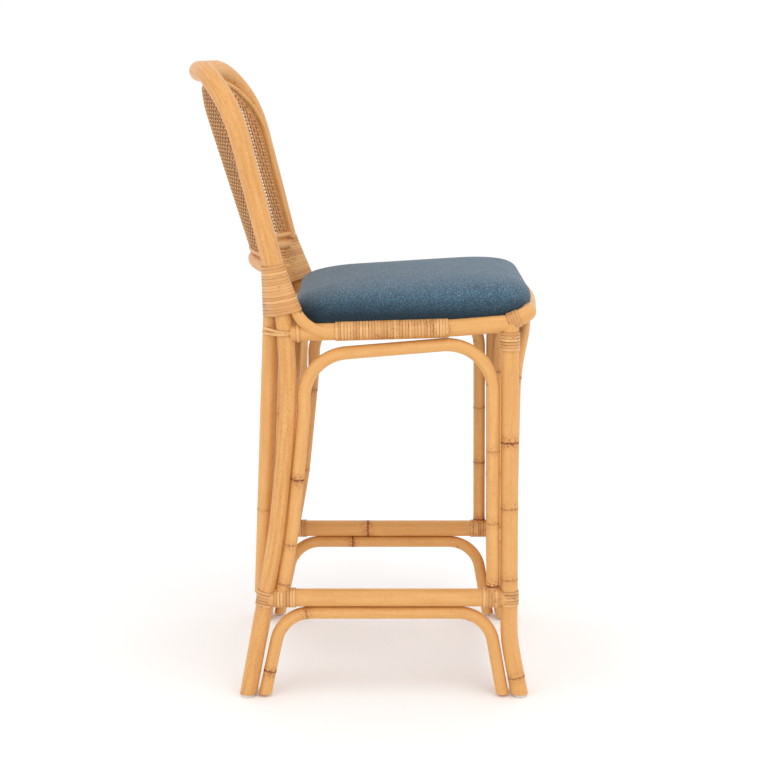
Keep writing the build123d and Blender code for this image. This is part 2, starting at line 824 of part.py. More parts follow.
def finished_footrest():
    return largest(front_footrest() - both(front_leg(2 * fit) + side_stretcher(2 * fit)))


def finished_rear_stretcher():
    return largest(rear_stretcher() - both(rear_leg(2 * fit) + side_stretcher(2 * fit)))


def finished_board():
    holes = both(screw_path(rear_screw_y) + screw_path(front_screw_y) + side_rail(2 * fit))
    return largest(seat_board() - holes - front_rail(2 * seat_clear))


def front_lower_arch():
    return lower_cross_arch(front_y - front_lower_foot_reach, front_y - front_lower_top_reach, front_leg_d)


def rear_lower_arch():
    return lower_cross_arch(rear_y + rear_lower_foot_reach, rear_y + rear_lower_top_reach, rear_leg_d)


single_pieces = {
    "back_hoop": finished_hoop,
    "back_inner_hoop": inner_hoop,
    "back_inner_rail": inner_rail,
    "back_cross_rail": finished_cross_rail,
    "cane_panel": cane_panel,
    "seat_front_rail": finished_front_rail,
    "seat_rear_rail": finished_rear_rail,
    "seat_board": finished_board,
    "seat_foam": seat_foam,
    "seat_cover": seat_cover,
    "seat_dust_cover": dust_cover,
    "front_arch": front_arch,
    "rear_arch": rear_arch,
    "front_footrest": finished_footrest,
    "rear_stretcher": finished_rear_stretcher,
    "lower_arch_front": front_lower_arch,
    "lower_arch_rear": rear_lower_arch,
}

side_pieces = {
    "front_leg": finished_front_leg,
    "rear_leg": finished_rear_leg,
    "rear_stay": rear_stay,
    "seat_side_rail": finished_side_rail,
    "knee_brace": finished_brace,
    "side_arch": side_arch,
    "side_stretcher": finished_side_stretcher,
    "lower_arch": lower_side_arch,
    "glide_front": lambda: glide(side_x, front_glide_y),
    "glide_rear": lambda: glide(side_x, rear_glide_y),
    "joint_dowel": joint_dowel,
    "rail_dowel": rail_dowel,
    "seat_screw_front": lambda: seat_screw(front_screw_y),
    "seat_screw_rear": lambda: seat_screw(rear_screw_y),
    "post_wrap": post_wrap,
    "rail_wrap": rail_wrap,
    "saddle_wrap": saddle_wrap,
    "leg_wrap": leg_wrap,
    "ring_wrap_front": front_ring_wrap,
    "ring_wrap_rear": rear_ring_wrap,
    "rear_tie": rear_tie,
}

pieces = {name: make() for name, make in single_pieces.items()}
for name, make in side_pieces.items():
    left_piece = make()
    pieces[name + "_left"] = left_piece
    pieces[name + "_right"] = mirror(left_piece, about=Plane.YZ)

# The origin is on the floor under the middle of the stool's own box.
front_face = min(piece.bounding_box().min.Y for piece in pieces.values())
rear_face = max(piece.bounding_box().max.Y for piece in pieces.values())
centring = Pos(0, -(front_face + rear_face) / 2, 0)

os.makedirs("parts", exist_ok=True)
for name, piece in pieces.items():
    placed = centring * piece
    placed.label = name
    export_step(placed, os.path.join("parts", name + ".step"))
    print(f"{name:24s} {placed.volume / 1000:9.1f} cm3")
print(f"depth {rear_face - front_face:.1f} mm, moved by {-(front_face + rear_face) / 2:.2f} mm")
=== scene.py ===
import math
import random

import bpy
import bmesh
from mathutils import Euler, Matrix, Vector
from bpy.props import FloatProperty, FloatVectorProperty, IntProperty, PointerProperty


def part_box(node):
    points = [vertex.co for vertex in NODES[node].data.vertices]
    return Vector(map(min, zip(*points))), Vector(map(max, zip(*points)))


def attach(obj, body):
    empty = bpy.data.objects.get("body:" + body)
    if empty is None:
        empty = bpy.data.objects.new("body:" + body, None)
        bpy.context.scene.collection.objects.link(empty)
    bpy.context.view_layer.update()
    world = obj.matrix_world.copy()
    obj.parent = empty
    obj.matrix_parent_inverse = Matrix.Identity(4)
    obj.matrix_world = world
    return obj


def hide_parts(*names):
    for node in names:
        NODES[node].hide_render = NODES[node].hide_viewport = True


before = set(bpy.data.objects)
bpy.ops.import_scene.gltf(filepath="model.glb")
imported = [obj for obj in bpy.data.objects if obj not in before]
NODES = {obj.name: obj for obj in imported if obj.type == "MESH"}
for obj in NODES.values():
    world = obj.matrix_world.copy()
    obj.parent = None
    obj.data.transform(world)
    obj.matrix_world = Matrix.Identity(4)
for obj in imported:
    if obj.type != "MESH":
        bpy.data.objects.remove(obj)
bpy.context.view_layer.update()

bl_info = {
    "name": "Rattan bar stool",
    "version": (1, 0, 0),
    "blender": (4, 5, 0),
    "location": "3D View > Sidebar > Stool",
    "description": "Bent rattan poles, cane bindings, woven back and cushion of a bar stool",
    "category": "Object",
}

BODY = "root"
SIDES = (("left", 1.0), ("right", -1.0))


# ---------------------------------------------------------------- node trees
class Value:
    """A socket of a node tree that takes part in Python expressions."""

    def __init__(self, tree, socket):
        self.tree = tree
        self.socket = socket

    def _math(self, operation, first, second):
        return self.tree.node(self.tree.math, {"operation": operation}, {0: first, 1: second})

    def __add__(self, other):
        return self._math("ADD", self, other)

    def __radd__(self, other):
        return self._math("ADD", other, self)

    def __sub__(self, other):
        return self._math("SUBTRACT", self, other)

    def __rsub__(self, other):
        return self._math("SUBTRACT", other, self)

    def __mul__(self, other):
        return self._math("MULTIPLY", self, other)

    def __rmul__(self, other):
        return self._math("MULTIPLY", other, self)

    def __truediv__(self, other):
        return self._math("DIVIDE", self, other)

    def clamped(self, low, high):
        """0 below low, 1 above high, and a smooth step between them."""
        settings = {"interpolation_type": "SMOOTHSTEP"}
        return self.tree.node("ShaderNodeMapRange", settings, {0: self, 1: low, 2: high})


class Wiring:
    """A node tree with one method that adds any node."""

    math = "ShaderNodeMath"

    def __init__(self, tree):
        self.tree = tree

    def node(self, kind, settings=None, sockets=None, out=0):
        node = self.tree.nodes.new(kind)
        for name, value in (settings or {}).items():
            if name == "stops":
                ramp = node.color_ramp
                while len(ramp.elements) < len(value):
                    ramp.elements.new(0.5)
                for element, (place, colour) in zip(ramp.elements, value):
                    element.position = place
                    element.color = (*colour, 1.0)
            else:
                setattr(node, name, value)
        for name, value in (sockets or {}).items():
            socket = node.inputs[name]
            if isinstance(value, Value):
                self.tree.links.new(value.socket, socket)
            else:
                socket.default_value = value
        return Value(self, node.outputs[out]) if node.outputs else node


class Finish(Wiring):
    """A material whose nodes are built by expressions."""

    def __init__(self, name):
        self.material = bpy.data.materials.new(name)
        self.material.use_nodes = True
        super().__init__(self.material.node_tree)
        self.shader = self.tree.nodes["Principled BSDF"]

    def attribute(self, name, out=2):
        return self.node("ShaderNodeAttribute", {"attribute_name": name}, None, out)

    def object_place(self):
        return self.node("ShaderNodeTexCoord", None, None, 3)

    def stretched(self, vector, scale):
        return self.node("ShaderNodeVectorMath", {"operation": "MULTIPLY"}, {0: vector, 1: scale})

    def noise(self, vector, scale, detail=3.0, roughness=0.55, distortion=0.0):
        return self.node("ShaderNodeTexNoise", None, {
            "Vector": vector, "Scale": scale, "Detail": detail, "Roughness": roughness,
            "Distortion": distortion})

    def blend(self, share, first, second, how="MIX"):
        mixed = self.node("ShaderNodeMix", {"data_type": "RGBA", "blend_type": how}, None, 2)
        node = mixed.socket.node
        for index, value in ((0, share), (6, first), (7, second)):
            if isinstance(value, Value):
                self.tree.links.new(value.socket, node.inputs[index])
            else:
                node.inputs[index].default_value = value if index == 0 else (*value, 1.0)
        return mixed

    def bump(self, height, strength, distance):
        sockets = {"Strength": strength, "Distance": distance, "Height": height}
        return self.node("ShaderNodeBump", None, sockets)

    def surface(self, **sockets):
        """Sets or links the shader's own sockets, named with _ for a space."""
        for name, value in sockets.items():
            socket = self.shader.inputs[name.replace("_", " ")]
            if isinstance(value, Value):
                self.tree.links.new(value.socket, socket)
            else:
                socket.default_value = value
        return self.material


def linear(red, green, blue):
    """A colour given in 0 to 255 display values, as linear light."""
    channels = []
    for value in (red, green, blue):
        share = value / 255
        channels.append(share / 12.92 if share < 0.04045 else ((share + 0.055) / 1.055) ** 2.4)
    return tuple(channels)


# ---------------------------------------------------------------- sizes and colours
def colour(name, description, value):
    return FloatVectorProperty(name=name, description=description, subtype="COLOR", size=3,
                               default=value, min=0.0, max=1.0)


def length(name, description, value):
    return FloatProperty(name=name, description=description, unit="LENGTH", default=value)


class PoleSettings(bpy.types.PropertyGroup):
    facets: IntProperty(name="Facets", description="Faces round a pole", default=28, min=8)
    node_swell: length("Node swell", "How far a rattan node stands out from the pole", 0.0004)
    light: colour("Light skin", "Sunny side of the rattan skin", linear(230, 174, 104))
    deep: colour("Deep skin", "Darker streaks of the rattan skin", linear(210, 147, 79))
    mark: colour("Node mark", "Colour of nodes and stains", linear(108, 40, 14))


class BindingSettings(bpy.types.PropertyGroup):
    pitch: length("Pitch", "Distance from one turn of cane to the next", 0.0052)
    thickness: length("Thickness", "Thickness of the binding cane", 0.0015)
    gap: length("Gap", "Groove between neighbouring turns", 0.0001)


class WeaveSettings(bpy.types.PropertyGroup):
    pitch: length("Pitch", "Distance between strands of the cane panel", 0.0064)
    strand_width: length("Strand width", "Width of a strand of the cane panel", 0.0045)
    strand_thickness: length("Strand thickness", "Thickness of a strand", 0.0009)
    upright: FloatProperty(name="Upright share", description="Upright strands against level ones",
                           default=1.3)
    strand_colour: colour("Strand", "Colour of the level strands", linear(216, 164, 106))
    # the upright strands' dark colour is painted shade, laid mostly on their front faces
    upright_shade_colour: colour("Upright strand", "Colour of the upright strands", linear(116, 66, 32))


class CushionSettings(bpy.types.PropertyGroup):
    voxel: length("Voxel", "Mesh size of the cushion before it is inflated", 0.005)
    pressure: FloatProperty(name="Pressure", description="Air pressure inside the cushion", default=4.0)
    cap: length("Swell limit", "Farthest that the cover moves when it is inflated", 0.002)
    yarn: colour("Yarn", "Main colour of the cover", linear(58, 86, 104))
    # this colour is also the painted shade that darkens the cushion toward its skirt
    dark_yarn_and_shade: colour("Dark yarn", "Dark threads of the cover", linear(30, 43, 53))
    pale_yarn: colour("Pale yarn", "Pale threads of the cover", linear(126, 158, 180))


class StageSettings(bpy.types.PropertyGroup):
    lens: FloatProperty(name="Lens", description="Focal length in millimetres", default=81.59)
    camera_height: length("Camera height", "Height of the camera above the floor", 1.117)
    camera_distance: length("Camera distance", "From the camera to the middle plane", 3.105)
    camera_side: length("Camera side", "How far in front of the rear legs the camera stands", 0.1575)
    camera_tilt: FloatProperty(name="Camera tilt", description="Downward tilt", subtype="ANGLE",
                               default=math.radians(11.02))


# ---------------------------------------------------------------- sizes of the frame, in metres
HOOP, FRONT_LEG, REAR_LEG, STAY = 0.0346, 0.030, 0.029, 0.0285
SIDE_RAIL, CROSS_SEAT_RAIL, ARCH, LOWER_ARCH = 0.029, 0.027, 0.0225, 0.022
STRETCHER, BRACE, INNER_HOOP, INNER_RAIL, CROSS_RAIL = 0.031, 0.020, 0.0106, 0.0096, 0.022
SEAT, RING, JOINT = 0.650, 0.179, 0.700
GLIDE = 0.005
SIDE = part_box("side_stretcher_left")[0].x + STRETCHER / 2
REAR = sum(v.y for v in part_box("seat_rear_rail")) / 2 + 0.0005
FRONT = REAR - 0.3695
HOOP_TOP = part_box("back_hoop")[1].z - HOOP / 2
STAY_X = sum(v.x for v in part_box("rear_stay_left")) / 2
FRONT_ARCH_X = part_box("front_arch")[1].x - ARCH / 2
REAR_ARCH_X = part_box("rear_arch")[1].x - ARCH / 2
LOWER_ARCH_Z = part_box("lower_arch_left")[1].z - LOWER_ARCH / 2
INNER_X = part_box("back_inner_hoop")[1].x - INNER_HOOP / 2
INNER_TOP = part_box("back_inner_hoop")[1].z - INNER_HOOP / 2
SKIN = 0.00175                       # how far a binding stands out from its pole
POST_SET, POST_LEAN = 0.0135, 0.246  # back post behind the leg at the joint, and its lean
LEG_BULGE, FOOT_REACH = 0.0265, 0.054
LEG_WAIST, LEG_ANKLE = SEAT - 0.100, RING + 0.111
STAY_SET = 0.0315
RAIL_END_Z = 0.6427                  # rear end of the side rails
ARCH_FOOT_Z = 0.186
TOUCH = 0.0006                       # gap between poles that lie side by side
BRACE_OUT, BRACE_RUN = 0.009, 0.186
HOOP_CORNER, INNER_CORNER = 0.069, 0.058
INNER_FOOT_Z, INNER_SET = 0.7585, 0.009
PANEL_FOOT_Z, PANEL_CORNER = 0.7655, 0.096
RAIL_WRAP_REACH, RAIL_WRAP_SPAN = 0.294, 0.190
BELOW_FLOOR = -0.012
CROWN, WAIST = 0.043, 0.025          # cushion above its widest level, and below it
CUSHION_CORNER, CLOTH_CORNER = 0.066, 0.032


def post_y(z):
    return REAR + POST_SET + POST_LEAN * (z - JOINT)


def rear_leg_y(z):
    if z > LEG_WAIST:
        return REAR + POST_SET * (z - LEG_WAIST) / (JOINT - LEG_WAIST)
    if z > LEG_ANKLE:
        return REAR + LEG_BULGE * (LEG_WAIST - z) / (LEG_WAIST - LEG_ANKLE)
    return REAR + LEG_BULGE + FOOT_REACH * (LEG_ANKLE - z) / LEG_ANKLE


def front_leg_y(z):
    return FRONT - 0.005 * (SEAT - z) / (SEAT - 0.105)


def mirrored(points):
    return points + [(-x, y, z) for x, y, z in reversed(points) if x != 0]


def rail_points(side):
    return [(side * SIDE, rear_leg_y(RAIL_END_Z) - 0.009, RAIL_END_Z),
            (side * SIDE, FRONT + 0.096, SEAT + 0.001),
            (side * SIDE, FRONT + 0.0045, SEAT + 0.0085)]


def brace_points(side):
    rear, bend = rail_points(1)[:2]
    slope = (bend[2] - rear[2]) / (rear[1] - bend[1])
    corner_y = REAR - 0.026
    corner_z = RAIL_END_Z + slope * (rear[1] - corner_y)
    x = side * (SIDE + BRACE_OUT)
    return [(x, REAR + 0.0155, SEAT + 0.092), (x, corner_y, corner_z),
            (x, corner_y - BRACE_RUN, corner_z + slope * BRACE_RUN)]


def side_routes(side):
    """Each pole of one side: its points, its bends, its diameter."""
    x = side * SIDE
    beside = (REAR_LEG + ARCH) / 2 + TOUCH
    arch_y = FRONT + (FRONT_LEG + ARCH) / 2 + 0.002
    return {
        "front_leg": ([(x, front_leg_y(0.6605), 0.6605), (x, FRONT - 0.005, 0.105),
                       (x, FRONT - 0.0278, BELOW_FLOOR)], [0.3], FRONT_LEG),
        "rear_leg": ([(x, rear_leg_y(0.712), 0.712), (x, REAR, LEG_WAIST),
                      (x, REAR + LEG_BULGE, LEG_ANKLE), (x, REAR + 0.0827, BELOW_FLOOR)],
                     [1.0, 1.5], REAR_LEG),
        "rear_stay": ([(side * STAY_X, REAR + STAY_SET, 0.706), (side * STAY_X, REAR + 0.054, 0.180)],
                      [], STAY),
        "seat_side_rail": (rail_points(side), [0.5], SIDE_RAIL),
        "knee_brace": (brace_points(side), [0.06], BRACE),
        "side_arch": ([(x, rear_leg_y(z) - beside, z) for z in (ARCH_FOOT_Z, LEG_ANKLE, 0.510)]
                      + [(x, REAR - 0.0205, SEAT - 0.0475), (x, arch_y, SEAT - 0.0205),
                         (x, arch_y - 0.004, ARCH_FOOT_Z)],
                      [0.75, 0.15, 0.079, 0.079], ARCH),
        "side_stretcher": ([(x, rear_leg_y(RING) - 0.004, RING), (x, front_leg_y(RING) + 0.004, RING)],
                           [], STRETCHER),
        "lower_arch": ([(x, REAR + 0.051, 0.0), (x, REAR + 0.0185, LOWER_ARCH_Z),
                        (x, FRONT + 0.032, LOWER_ARCH_Z), (x, FRONT + 0.0045, 0.0)],
                       [0.062, 0.062], LOWER_ARCH),
    }


def middle_routes():
    """Each pole that runs from side to side."""
    top = HOOP_TOP
    front_y, rear_y = front_leg_y(RING), rear_leg_y(RING)
    lower_front = SIDE - (FRONT_LEG + LOWER_ARCH) / 2 - TOUCH
    lower_rear = SIDE - (REAR_LEG + LOWER_ARCH) / 2 - TOUCH
    hoop = [0.125, 0.125, 0.324, 0.125, 0.125]
    inner = [0.104, 0.104, 0.330, 0.104, 0.104]
    return {
        "back_hoop": (mirrored(
            [(SIDE, post_y(z), z) for z in (0.690, top - HOOP_CORNER)]
            + [(SIDE - HOOP_CORNER, post_y(top) + 0.0315, top), (0, post_y(top) + 0.0713, top)]),
            hoop, HOOP),
        "back_inner_hoop": (mirrored(
            [(INNER_X, post_y(z) - INNER_SET, z) for z in (INNER_FOOT_Z, INNER_TOP - INNER_CORNER)]
            + [(INNER_X - INNER_CORNER, post_y(INNER_TOP) + 0.027, INNER_TOP),
               (0, post_y(INNER_TOP) + 0.076, INNER_TOP)]), inner, INNER_HOOP),
        "seat_front_rail": (mirrored([(SIDE, FRONT + 0.0034, SEAT + 0.0105),
                                      (SIDE, FRONT - 0.030, SEAT + 0.0245),
                                      (0, FRONT - 0.0465, SEAT + 0.0245)]),
                            [0.027, 0.9, 0.027], CROSS_SEAT_RAIL),
        "seat_rear_rail": (mirrored([(SIDE - 0.006, REAR - 0.0005, RAIL_END_Z)]), [], CROSS_SEAT_RAIL),
        "front_arch": (mirrored([(FRONT_ARCH_X, FRONT - 0.007, ARCH_FOOT_Z),
                                 (FRONT_ARCH_X, FRONT - 0.010, SEAT - 0.080),
                                 (FRONT_ARCH_X - 0.068, FRONT - 0.033, SEAT - 0.002)]),
                       [0.1] * 4, ARCH),
        "rear_arch": (mirrored([(REAR_ARCH_X, REAR + 0.0445, ARCH_FOOT_Z),
                                (REAR_ARCH_X, REAR - 0.0025, SEAT - 0.102),
                                (REAR_ARCH_X - 0.062, REAR - 0.0025, SEAT - 0.0325)]),
                      [0.088] * 4, ARCH),
        "front_footrest": (mirrored([(SIDE - 0.004, front_y, RING)]), [], STRETCHER),
        "rear_stretcher": (mirrored([(SIDE - 0.004, rear_y, RING)]), [], STRETCHER),
        "lower_arch_front": (mirrored([(lower_front, FRONT - 0.022, 0.0),
                                       (lower_front, FRONT - 0.006, LOWER_ARCH_Z)]),
                             [0.062] * 2, LOWER_ARCH),
        "lower_arch_rear": (mirrored([(lower_rear, REAR + 0.0765, 0.0),
                                      (lower_rear, REAR + 0.0475, LOWER_ARCH_Z)]),
                            [0.062] * 2, LOWER_ARCH),
    }


# A node mark: axis, place along it, which crossing of the route, and how dark it is.
MARKS = {
    "front_leg_right": [(2, 0.455, 0, 1.0), (2, 0.339, 0, 0.45), (2, 0.213, 0, 0.4), (2, 0.036, 0, 0.6)],
    "front_leg_left": [(2, 0.50, 0, 0.7), (2, 0.29, 0, 0.5), (2, 0.06, 0, 0.5)],
    "side_arch_right": [(2, 0.390, 0, 1.0), (2, 0.275, 0, 0.45), (2, 0.205, 0, 0.5),
                        (2, 0.439, -1, 0.35), (2, 0.3125, -1, 0.4), (2, 0.201, -1, 1.0)],
    "side_arch_left": [(2, 0.46, 0, 0.6), (2, 0.30, 0, 0.4), (2, 0.424, -1, 0.35),
                       (2, 0.3145, -1, 0.7), (2, 0.199, -1, 1.0)],
    "side_stretcher_left": [(1, -0.004, 0, 0.9)],
    "lower_arch_left": [(1, 0.026, 0, 1.0)],
    "lower_arch_right": [(1, 0.098, 0, 0.6), (2, 0.047, 0, 1.0)],
    "front_arch": [(2, 0.50, 0, 0.7), (2, 0.30, 0, 0.5), (2, 0.56, -1, 0.7), (2, 0.36, -1, 0.5)],
    "rear_arch": [(2, 0.45, 0, 0.7), (2, 0.26, 0, 0.5), (2, 0.50, -1, 0.6), (2, 0.33, -1, 0.5)],
    "front_footrest": [(0, 0.070, 0, 0.7)],
    "rear_stretcher": [(0, -0.060, 0, 0.7)],
    "lower_arch_front": [(0, -0.05, 0, 0.7)],
    "lower_arch_rear": [(0, 0.08, 0, 0.7)],
    "rear_stay_left": [(2, 0.42, 0, 0.5)],
    "rear_stay_right": [(2, 0.33, 0, 0.25)],
}
BRACE_TAPER, TAPER_RUN = 14.0, 0.080  # the brace thins under the binding, in node swells
PEELED = ("back_hoop", "back_inner_hoop", "rear_leg")


# ---------------------------------------------------------------- lines that the node trees follow
def rounded(points, bends, turn=math.radians(5)):
    """The corners of a route turned into arcs, as a list of points."""
    corners = [Vector(p) for p in points]
    line = [corners[0]]
    for before, corner, after, radius in zip(corners, corners[1:], corners[2:], bends):
        inward, onward = (corner - before).normalized(), (after - corner).normalized()
        angle = inward.angle(onward)
        start = corner - inward * (radius * math.tan(angle / 2))
        across = (onward - inward * math.cos(angle)) / math.sin(angle)
        steps = max(2, math.ceil(angle / turn))
        for k in range(steps + 1):
            a = angle * k / steps
            line.append(start + inward * (radius * math.sin(a)) + across * (radius * (1 - math.cos(a))))
    line.append(corners[-1])
    return line


def bow(end, middle, steps=24):
    """One arc from a point through a middle point to its mirror image."""
    sag, half = middle[1] - end[1], end[0]
    radius = (half * half + sag * sag) / (2 * sag)
    reach = math.asin(half / radius)
    return [Vector((radius * math.sin(reach * (1 - 2 * k / steps)),
                    middle[1] - radius * (1 - math.cos(reach * (1 - 2 * k / steps))), end[2]))
            for k in range(steps + 1)]


def lengths_along(line):
    total = [0.0]
    for a, b in zip(line, line[1:]):
        total.append(total[-1] + (b - a).length)
    return total


def crossings(line, along, axis, place):
    found = []
    for k, (a, b) in enumerate(zip(line, line[1:])):
        if (a[axis] - place) * (b[axis] - place) <= 0 and a[axis] != b[axis]:
            share = (place - a[axis]) / (b[axis] - a[axis])
            found.append(along[k] + share * (along[k + 1] - along[k]))
    return found


SWELL_PROFILE = ((-0.0060, 0.0), (-0.0022, 0.7), (-0.0013, 1.0), (0.0013, 1.0), (0.0022, 0.7),
                 (0.0060, 0.0))
RING_PROFILE = ((-0.0022, 0.0), (-0.0013, 1.0), (0.0013, 1.0), (0.0022, 0.0))
SMEAR_PROFILE = ((-0.0190, 0.0), (-0.0030, 1.0), (0.0030, 1.0), (0.0140, 0.0))


def sample(table, place):
    """A value read between the rows of a table of places and values."""
    if place <= table[0][0] or place >= table[-1][0]:
        return 0.0
    for (a, low), (b, high) in zip(table, table[1:]):
        if a <= place <= b:
            return low + (high - low) * (place - a) / (b - a) if b > a else high
    return 0.0


def pole_line(name, line, tint, step=0.012):
    """A pole's centre line as a mesh, with what the shader and the sweep need at each point."""
    along = lengths_along(line)
    nodes = []
    for axis, place, which, strength in MARKS.get(name, ()):
        found = crossings(line, along, axis, place)
        if not found:
            raise ValueError(f"{name} has no point at {place} on axis {axis}")
        nodes.append((found[which], strength))
    stations = set(along)
    count = max(2, round(along[-1] / step))
    stations.update(along[-1] * k / count for k in range(count + 1))
    for place, _ in nodes:
        stations.update(place + row[0] for row in SWELL_PROFILE + SMEAR_PROFILE)
    stations = sorted(s for s in stations if 0 <= s <= along[-1])
    kept = [stations[0]]
    for station in stations[1:]:
        if station - kept[-1] > 0.0002:
            kept.append(station)
    points, k = [], 0
    for station in kept:
        while k < len(line) - 2 and along[k + 1] < station:
            k += 1
        share = (station - along[k]) / (along[k + 1] - along[k])
        points.append(line[k].lerp(line[k + 1], share))
    taper = BRACE_TAPER if name.startswith("knee_brace") else 0.0

    def strongest(table, station, even=False):
        return max((sample(table, station - place) * (1.0 if even else strength)
                    for place, strength in nodes), default=0.0)

    values = {
        "along": kept,
        "swell": [strongest(SWELL_PROFILE, station, True) - taper * max(0.0, 1 - station / TAPER_RUN)
                  for station in kept],
        "ring": [strongest(RING_PROFILE, station) for station in kept],
        "smear": [strongest(SMEAR_PROFILE, station) for station in kept],
        "tint": [tint] * len(kept),
    }
    return line_object(name, [points], values, False)


def line_object(name, lines, values, closed, vectors=None):
    """Open or closed lines of points as one mesh of edges with named attributes."""
    points, edges = [], []
    for line in lines:
        first = len(points)
        points.extend(line)
        edges.extend((first + k, first + k + 1) for k in range(len(line) - 1))
        if closed:
            edges.append((len(points) - 1, first))
    mesh = bpy.data.meshes.new(name)
    mesh.from_pydata([tuple(p) for p in points], edges, [])
    for key, numbers in values.items():
        attribute = mesh.attributes.new(key, "FLOAT", "POINT")
        attribute.data.foreach_set("value", numbers)
    for key, arrows in (vectors or {}).items():
        attribute = mesh.attributes.new(key, "FLOAT_VECTOR", "POINT")
        attribute.data.foreach_set("vector", [c for arrow in arrows for c in arrow])
    return placed(name, mesh)


def placed(name, data):
    """A mesh, a light or a camera as an object in the scene."""
    obj = bpy.data.objects.new(name, data)
    bpy.context.collection.objects.link(obj)
    return obj


def ring_object(name, rings, first, last=None):
    """Rings of points of one length, joined into a surface that is closed at its end points."""
    shape = bmesh.new()
    rows = [[shape.verts.new(point) for point in ring] for ring in rings]
    tips = [(shape.verts.new(tip), row) for tip, row in ((first, rows[0]), (last, rows[-1])) if tip]
    count = len(rings[0])
    for k in range(count):
        after = (k + 1) % count
        for tip, row in tips:
            shape.faces.new((tip, row[k], row[after]))
        for upper, lower in zip(rows, rows[1:]):
            shape.faces.new((upper[k], lower[k], lower[after], upper[after]))
    mesh = bpy.data.meshes.new(name)
    shape.to_mesh(mesh)
    shape.free()
    return placed(name, mesh)


# ---------------------------------------------------------------- geometry node trees
def geometry_tree(name, **inputs):
    """A new geometry tree, with its group input's sockets by name."""
    tree = bpy.data.node_groups.new(name, "GeometryNodeTree")
    for label, kind in inputs.items():
        tree.interface.new_socket(label, in_out="INPUT", socket_type="NodeSocket" + kind)
    tree.interface.new_socket("Geometry", in_out="OUTPUT", socket_type="NodeSocketGeometry")
    wiring = Wiring(tree)
    source = tree.nodes.new("NodeGroupInput")
    return wiring, {label: Value(wiring, source.outputs[label]) for label in inputs}


def kept_value(wiring, name, kind="FLOAT"):
    return wiring.node("GeometryNodeInputNamedAttribute", {"data_type": kind}, {"Name": name})


def swept(wiring, curve, profile, scale, finish):
    """Carries a profile along a curve, and keeps the place on the profile for the grain."""
    place = wiring.node("GeometryNodeInputPosition")
    kept = wiring.node("GeometryNodeStoreNamedAttribute",
                       {"data_type": "FLOAT_VECTOR", "domain": "POINT"},
                       {"Geometry": profile, "Name": "round", "Value": place})
    mesh = wiring.node("GeometryNodeCurveToMesh", None, {
        "Curve": curve, "Profile Curve": kept, "Scale": scale, "Fill Caps": True})
    smooth = wiring.node("GeometryNodeSetShadeSmooth", None, {"Geometry": mesh})
    real = wiring.node("GeometryNodeRealizeInstances", None, {"Geometry": smooth})
    painted = wiring.node("GeometryNodeSetMaterial", None, {"Geometry": real, "Material": finish})
    target = wiring.tree.nodes.new("NodeGroupOutput")
    wiring.tree.links.new(painted.socket, target.inputs[0])
    return wiring.tree


def pole_tree():
    """A round pole along a line, thicker at its nodes."""
    wiring, given = geometry_tree("rattan pole", Geometry="Geometry", Radius="Float", Swell="Float",
                                  Facets="Int", Finish="Material")
    curve = wiring.node("GeometryNodeMeshToCurve", None, {"Mesh": given["Geometry"]})
    circle = wiring.node("GeometryNodeCurvePrimitiveCircle", None, {
        "Resolution": given["Facets"], "Radius": given["Radius"]})
    scale = 1.0 + kept_value(wiring, "swell") * given["Swell"] / given["Radius"]
    return swept(wiring, curve, circle, scale, given["Finish"])


def strip_tree():
    """A flat strip with rounded edges along a line, its width turned by the line's own arrows."""
    wiring, given = geometry_tree("cane strip", Geometry="Geometry", Width="Float", Thickness="Float",
                                  Facets="Int", Finish="Material")
    curve = wiring.node("GeometryNodeMeshToCurve", None, {"Mesh": given["Geometry"]})
    turned = wiring.node("GeometryNodeSetCurveNormal", {"mode": "FREE"}, {
        "Curve": curve, "Normal": kept_value(wiring, "across", "FLOAT_VECTOR")})
    sharp = wiring.node("GeometryNodeCurvePrimitiveQuadrilateral", None, {
        "Width": given["Width"], "Height": given["Thickness"]})
    flat = wiring.node("GeometryNodeFilletCurve", {"mode": "POLY"}, {
        "Curve": sharp, "Count": given["Facets"], "Radius": given["Thickness"] * 0.42})
    return swept(wiring, turned, flat, kept_value(wiring, "size"), given["Finish"])


def shaped(source, tree, **inputs):
    """The plain mesh that a tree makes from an object, in an object of the same name."""
    modifier = source.modifiers.new("shape", "NODES")
    modifier.node_group = tree
    names = {item.name: item.identifier for item in tree.interface.items_tree if item.in_out == "INPUT"}
    for label, value in inputs.items():
        modifier[names[label]] = value
    graph = bpy.context.evaluated_depsgraph_get()
    mesh = bpy.data.meshes.new_from_object(source.evaluated_get(graph), depsgraph=graph)
    name = source.name
    bpy.data.objects.remove(source)
    mesh.name = name
    outward(mesh)
    return placed(name, mesh)


def outward(mesh):
    shape = bmesh.new()
    shape.from_mesh(mesh)
    bmesh.ops.recalc_face_normals(shape, faces=shape.faces)
    if shape.calc_volume(signed=True) < 0:
        bmesh.ops.reverse_faces(shape, faces=shape.faces)
    shape.to_mesh(mesh)
    shape.free()


def seated(obj, slot_name, *nodes):
    """Puts a finished piece on the frame, in place of its CAD nodes."""
    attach(obj, BODY)
    if nodes:
        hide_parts(*nodes)
    return obj


def cut_level(mesh, line, height):
    """Slides what hangs below a foot's level up along the pole's own direction."""
    ends = []
    for end, inner in ((line[0], line[1]), (line[-1], line[-2])):
        if end.z < 0.1:
            ends.append((end, (inner - end).normalized()))
    for vertex in mesh.vertices:
        if vertex.co.z < height:
            direction = min(ends, key=lambda e: (vertex.co - e[0]).length)[1]
            vertex.co = vertex.co + direction * ((height - vertex.co.z) / direction.z)


